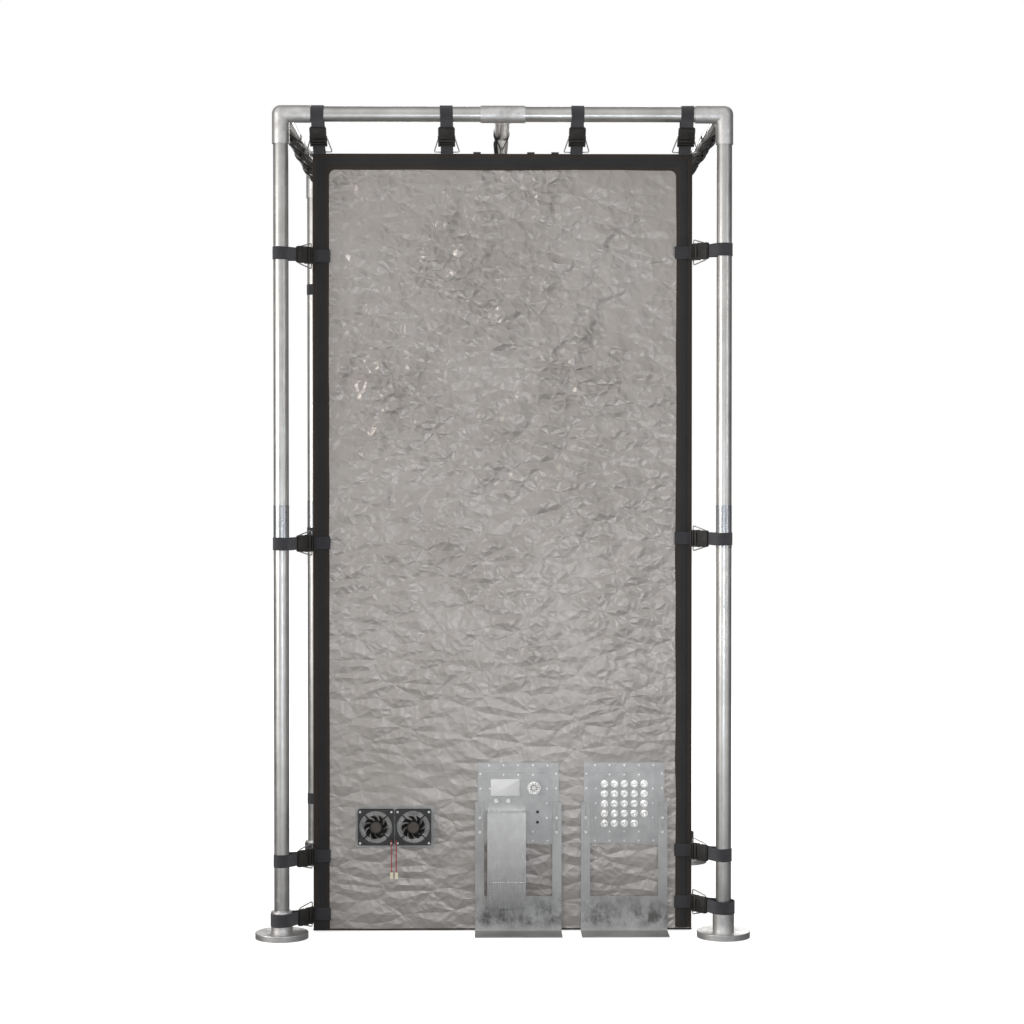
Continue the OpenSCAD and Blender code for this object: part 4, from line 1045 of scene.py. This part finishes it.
def make_hangers():
    straps = {"pole": Builder(), "rail": Builder()}
    buckles, rings, tabs = Builder(), Builder(), Builder()
    for k, (spot, reach, radius, tail, kind) in enumerate(hangers()):
        strap(straps["pole" if kind == "pole" else "rail"], spot, reach, radius, tail, kind, k)
        buckle(buckles, buckle_matrix(spot, reach, radius, kind)[0])
        wire_ring(rings, spot, reach)
        sewn_tab(tabs, spot, reach, kind, k + 60)
    straps["pole"].piece("webbing_poles", [webbing_material], replaces=("pole_straps",), slot="webbing",
                         auto=40)
    straps["rail"].piece("webbing_rails", [webbing_material], replaces=("rail_straps",), slot="webbing",
                         auto=40)
    buckles.piece("side_release_buckles", [buckle_material], replaces=("strap_buckles",),
                  slot="buckle_plastic", auto=35)
    rings.piece("wire_rings", [wire_material], replaces=("strap_rings",), slot="galvanised_wire")
    tabs.piece("sewn_tabs", [tape_material], replaces=("ring_tabs",), slot="binding")


make_hangers()


def roof_tab_pieces():
    """Three short ends of hook tape on the roof's front edge, each lifting a little."""
    low, high = corners_of("roof_tabs")
    b = Builder()
    width = 0.024
    line = [(low.y + t * (high.y - low.y), high.z - 0.0012 + 0.0035 * (1 - t) ** 2)
            for t in np.linspace(0, 1, 8)]
    across = Matrix(((0, 0, 1, 0), (1, 0, 0, 0), (0, 1, 0, 0), (0, 0, 0, 1)))
    for k, x in enumerate((low.x + width / 2, 0.091, high.x - width / 2)):
        spot = Matrix.Translation((x, 0, 0)) @ across
        ribbon(b, line, False, spot, 90 + k, width=width)
    b.piece("roof_edge_tabs", [tape_material], replaces=("roof_tabs",), slot="binding")


roof_tab_pieces()


# ---------------------------------------------------------------- fans

BLADES = 9
FAN_HUB_R, FAN_LABEL_R = 0.020, 0.0155


def rotor(name, node):
    """Hub, pitched sickle blades and the label on the hub's face."""
    low, high = corners_of(node)
    centre = middle_of(node)
    depth = high.y - low.y
    tip, hub = (high.x - low.x) / 2, FAN_HUB_R
    b = Builder()
    # Hub: a shallow cup with an eased rim, turned about Y
    profile = [(0.0, low.y + 0.0006), (hub * 0.82, low.y + 0.0006), (hub * 0.95, low.y + 0.001),
               (hub, low.y + 0.0026), (hub, high.y - 0.001), (hub * 0.9, high.y), (0.0, high.y)]
    turns = 40
    points = [(centre.x + r * math.cos(a), y, centre.z + r * math.sin(a))
              for r, y in profile for a in np.linspace(0, 2 * math.pi, turns, endpoint=False)]
    b.add(points, [f[::-1] for f in grid_faces(len(profile), turns, close_columns=True)], 0)
    # Label, a plain disc
    points = [(centre.x + r * math.cos(a), low.y + y, centre.z + r * math.sin(a))
              for r, y in ((0.0, 0.0002), (FAN_LABEL_R, 0.0003))
              for a in np.linspace(0, 2 * math.pi, turns, endpoint=False)]
    b.add(points, [f[::-1] for f in grid_faces(2, turns, close_columns=True)], 1)
    rows, columns = 9, 9
    for k in range(BLADES):
        base = k * 360 / BLADES
        front, back = [], []
        for i in range(rows):
            r = hub - 0.001 + (tip - hub + 0.001) * i / (rows - 1)
            span = (r - hub) / (tip - hub)
            sweep = 26 * max(0.0, span) ** 1.3
            chord = 34 - 7 * span
            for j in range(columns):
                c = j / (columns - 1) - 0.5
                a = math.radians(base + sweep + chord * c)
                lift = c * depth * 0.74 + 0.0016 * math.cos(math.pi * c)
                thick = 0.0009 * (1 - (2 * c) ** 2) + 0.0002
                y = centre.y + 0.0005 + lift
                front.append((centre.x + r * math.cos(a), y - thick, centre.z + r * math.sin(a)))
                back.append((centre.x + r * math.cos(a), y + thick, centre.z + r * math.sin(a)))
        points = front + back
        faces = [f[::-1] for f in grid_faces(rows, columns)]
        faces += [[i + rows * columns for i in f] for f in grid_faces(rows, columns)]
        rim = [i for i in range(columns)] + [r * columns + columns - 1 for r in range(1, rows)] + \
              [(rows - 1) * columns + j for j in range(columns - 2, -1, -1)] + \
              [r * columns for r in range(rows - 2, 0, -1)]
        n = rows * columns
        faces += [[i, j, j + n, i + n] for i, j in zip(rim, rim[1:] + rim[:1])]
        b.add(points, faces, 0)
    b.piece(name, [fan_material, label_material], body=node, replaces=(node,), slot="fan_plastic", auto=40)


rotor("rotor_left_blades", "fan_rotor_left")
rotor("rotor_right_blades", "fan_rotor_right")


# ---------------------------------------------------------------- cover and ports of the filter plate

def arc_outline(width, height, radius, steps=5):
    """A rectangle with round corners, anticlockwise in X-Z, about its own centre."""
    outline = []
    for k, (sx, sz) in enumerate(((1, 1), (-1, 1), (-1, -1), (1, -1))):
        for t in np.linspace(0, 90, steps):
            a = math.radians(90 * k + t)
            outline.append((sx * (width / 2 - radius) + radius * math.cos(a),
                            sz * (height / 2 - radius) + radius * math.sin(a)))
    return outline


def turned(builder, centre, profile, material=0, turns=36):
    """A round solid about the front-to-back axis: profile runs from its back out and round to its front."""
    angles = np.linspace(0, 2 * math.pi, turns, endpoint=False)
    points = [(centre[0] + r * math.cos(a), centre[1] - depth, centre[2] + r * math.sin(a))
              for r, depth in profile for a in angles]
    faces = grid_faces(len(profile), turns, close_columns=True)
    last = (len(profile) - 1) * turns
    faces += [list(range(turns))[::-1], list(range(last, last + turns))]
    builder.add(points, faces, material)


def plate_ports():
    """The white blanking cover, the multipin connector, two capped round ports and two black ones."""
    low, high = corners_of("filter_plate")
    x, y, z = (low.x + high.x) / 2, low.y, (low.z + high.z) / 2
    nickel, white, black = 0, 1, 2
    b = Builder()
    cover_x, cover_z = x - 0.042, z + 0.051
    for width, height, radius, y0, y1, bevel in ((0.093, 0.054, 0.003, y - 0.004, y, 0.0009),
                                                 (0.085, 0.046, 0.002, y - 0.0046, y - 0.0036, 0.0004)):
        outline = [(px + cover_x, pz + cover_z) for px, pz in arc_outline(width, height, radius)]
        b.add(*prism(outline, y0, y1, bevel), white)
    hub = (x + 0.0505, y, z + 0.049)
    turned(b, hub, [(0.0150, -0.008), (0.0150, 0.0), (0.0212, 0.0), (0.0215, 0.0006), (0.0215, 0.0050),
                    (0.0208, 0.0056), (0.0178, 0.0056), (0.0172, 0.0062), (0.0172, 0.0132), (0.0165, 0.0140),
                    (0.0138, 0.0140), (0.0131, 0.0133), (0.0129, 0.0095)], nickel, 48)
    turned(b, hub, [(0.0127, 0.006), (0.0127, 0.0102), (0.0121, 0.0108)], white)
    turned(b, hub, [(0.0052, 0.006), (0.0052, 0.0120), (0.0044, 0.0126)], white)

    def ring(count, start, radius, profile, material, turns):
        for k in range(count):
            a = math.radians(360 / count * k + start)
            spot = (hub[0] + radius * math.cos(a), hub[1], hub[2] + radius * math.sin(a))
            turned(b, spot, profile, material, turns)

    ring(8, 20, 0.0088, [(0.0019, 0.008), (0.0019, 0.0110), (0.0015, 0.0113)], black, 12)
    ring(24, 0, 0.0214, [(0.0010, 0.0008), (0.0010, 0.0048), (0.0006, 0.0052)], nickel, 8)
    for px in (-0.0705, -0.031):
        turned(b, (x + px, y, z + 0.007), [(0.0044, -0.008), (0.0044, 0.0), (0.0075, 0.0), (0.0075, 0.0032),
                                           (0.0070, 0.0037), (0.0060, 0.0037), (0.0060, 0.0078),
                                           (0.0052, 0.0088), (0.0030, 0.0090)], white, 28)
    for pz in (-0.028, -0.061):
        turned(b, (x + 0.062, y, z + pz), [(0.0029, -0.008), (0.0029, 0.0), (0.0045, 0.0), (0.0045, 0.0025),
                                           (0.0041, 0.0030), (0.0036, 0.0030), (0.0036, 0.0066),
                                           (0.0030, 0.0070), (0.0024, 0.0070), (0.0022, 0.0040)], black, 24)
    b.piece("plate_cover_and_ports", [nickel_material, cover_material, port_black_material],
            body="filter_panel", replaces=("filter_plate_ports",), slot="nickel", auto=40)


plate_ports()


# ---------------------------------------------------------------- door zip

ZIP_W = 0.030
TOOTH_PITCH = 0.0075


def zip_tape():
    """Tape round the door with two rows of teeth up its free edge."""
    b = Builder()
    x0, x1, z0, z1 = tape_low.x, tape_high.x, tape_low.z, tape_high.z
    y = tape_high.y
    for left, right, low, high in ((x0, x1, z0, z0 + ZIP_W), (x0, x1, z1 - ZIP_W, z1),
                                   (x0, x0 + ZIP_W, z0 + ZIP_W, z1 - ZIP_W),
                                   (x1 - ZIP_W, x1, z0 + ZIP_W, z1 - ZIP_W)):
        b.add(*block(left, right, tape_low.y, y - 0.0002, low, high, 0.0004), 0)
    middle = ZIP_W / 2
    for z in np.arange(z0 + middle, z1 - middle, TOOTH_PITCH):
        for s in (-1, 1):
            x = x1 - middle + s * 0.0011
            b.add(*block(x - 0.0022, x + 0.0022, y - 0.0003, y + 0.0002, z + s * 0.0019 - 0.0013,
                         z + s * 0.0019 + 0.0013, 0.0003), 1)
    b.piece("zip_tape", [tape_material, dark_steel_material], body="door", replaces=("door_zip_tape",),
            slot="binding", smooth=False)


zip_tape()
paint_node(wire_material, "zip_slider")
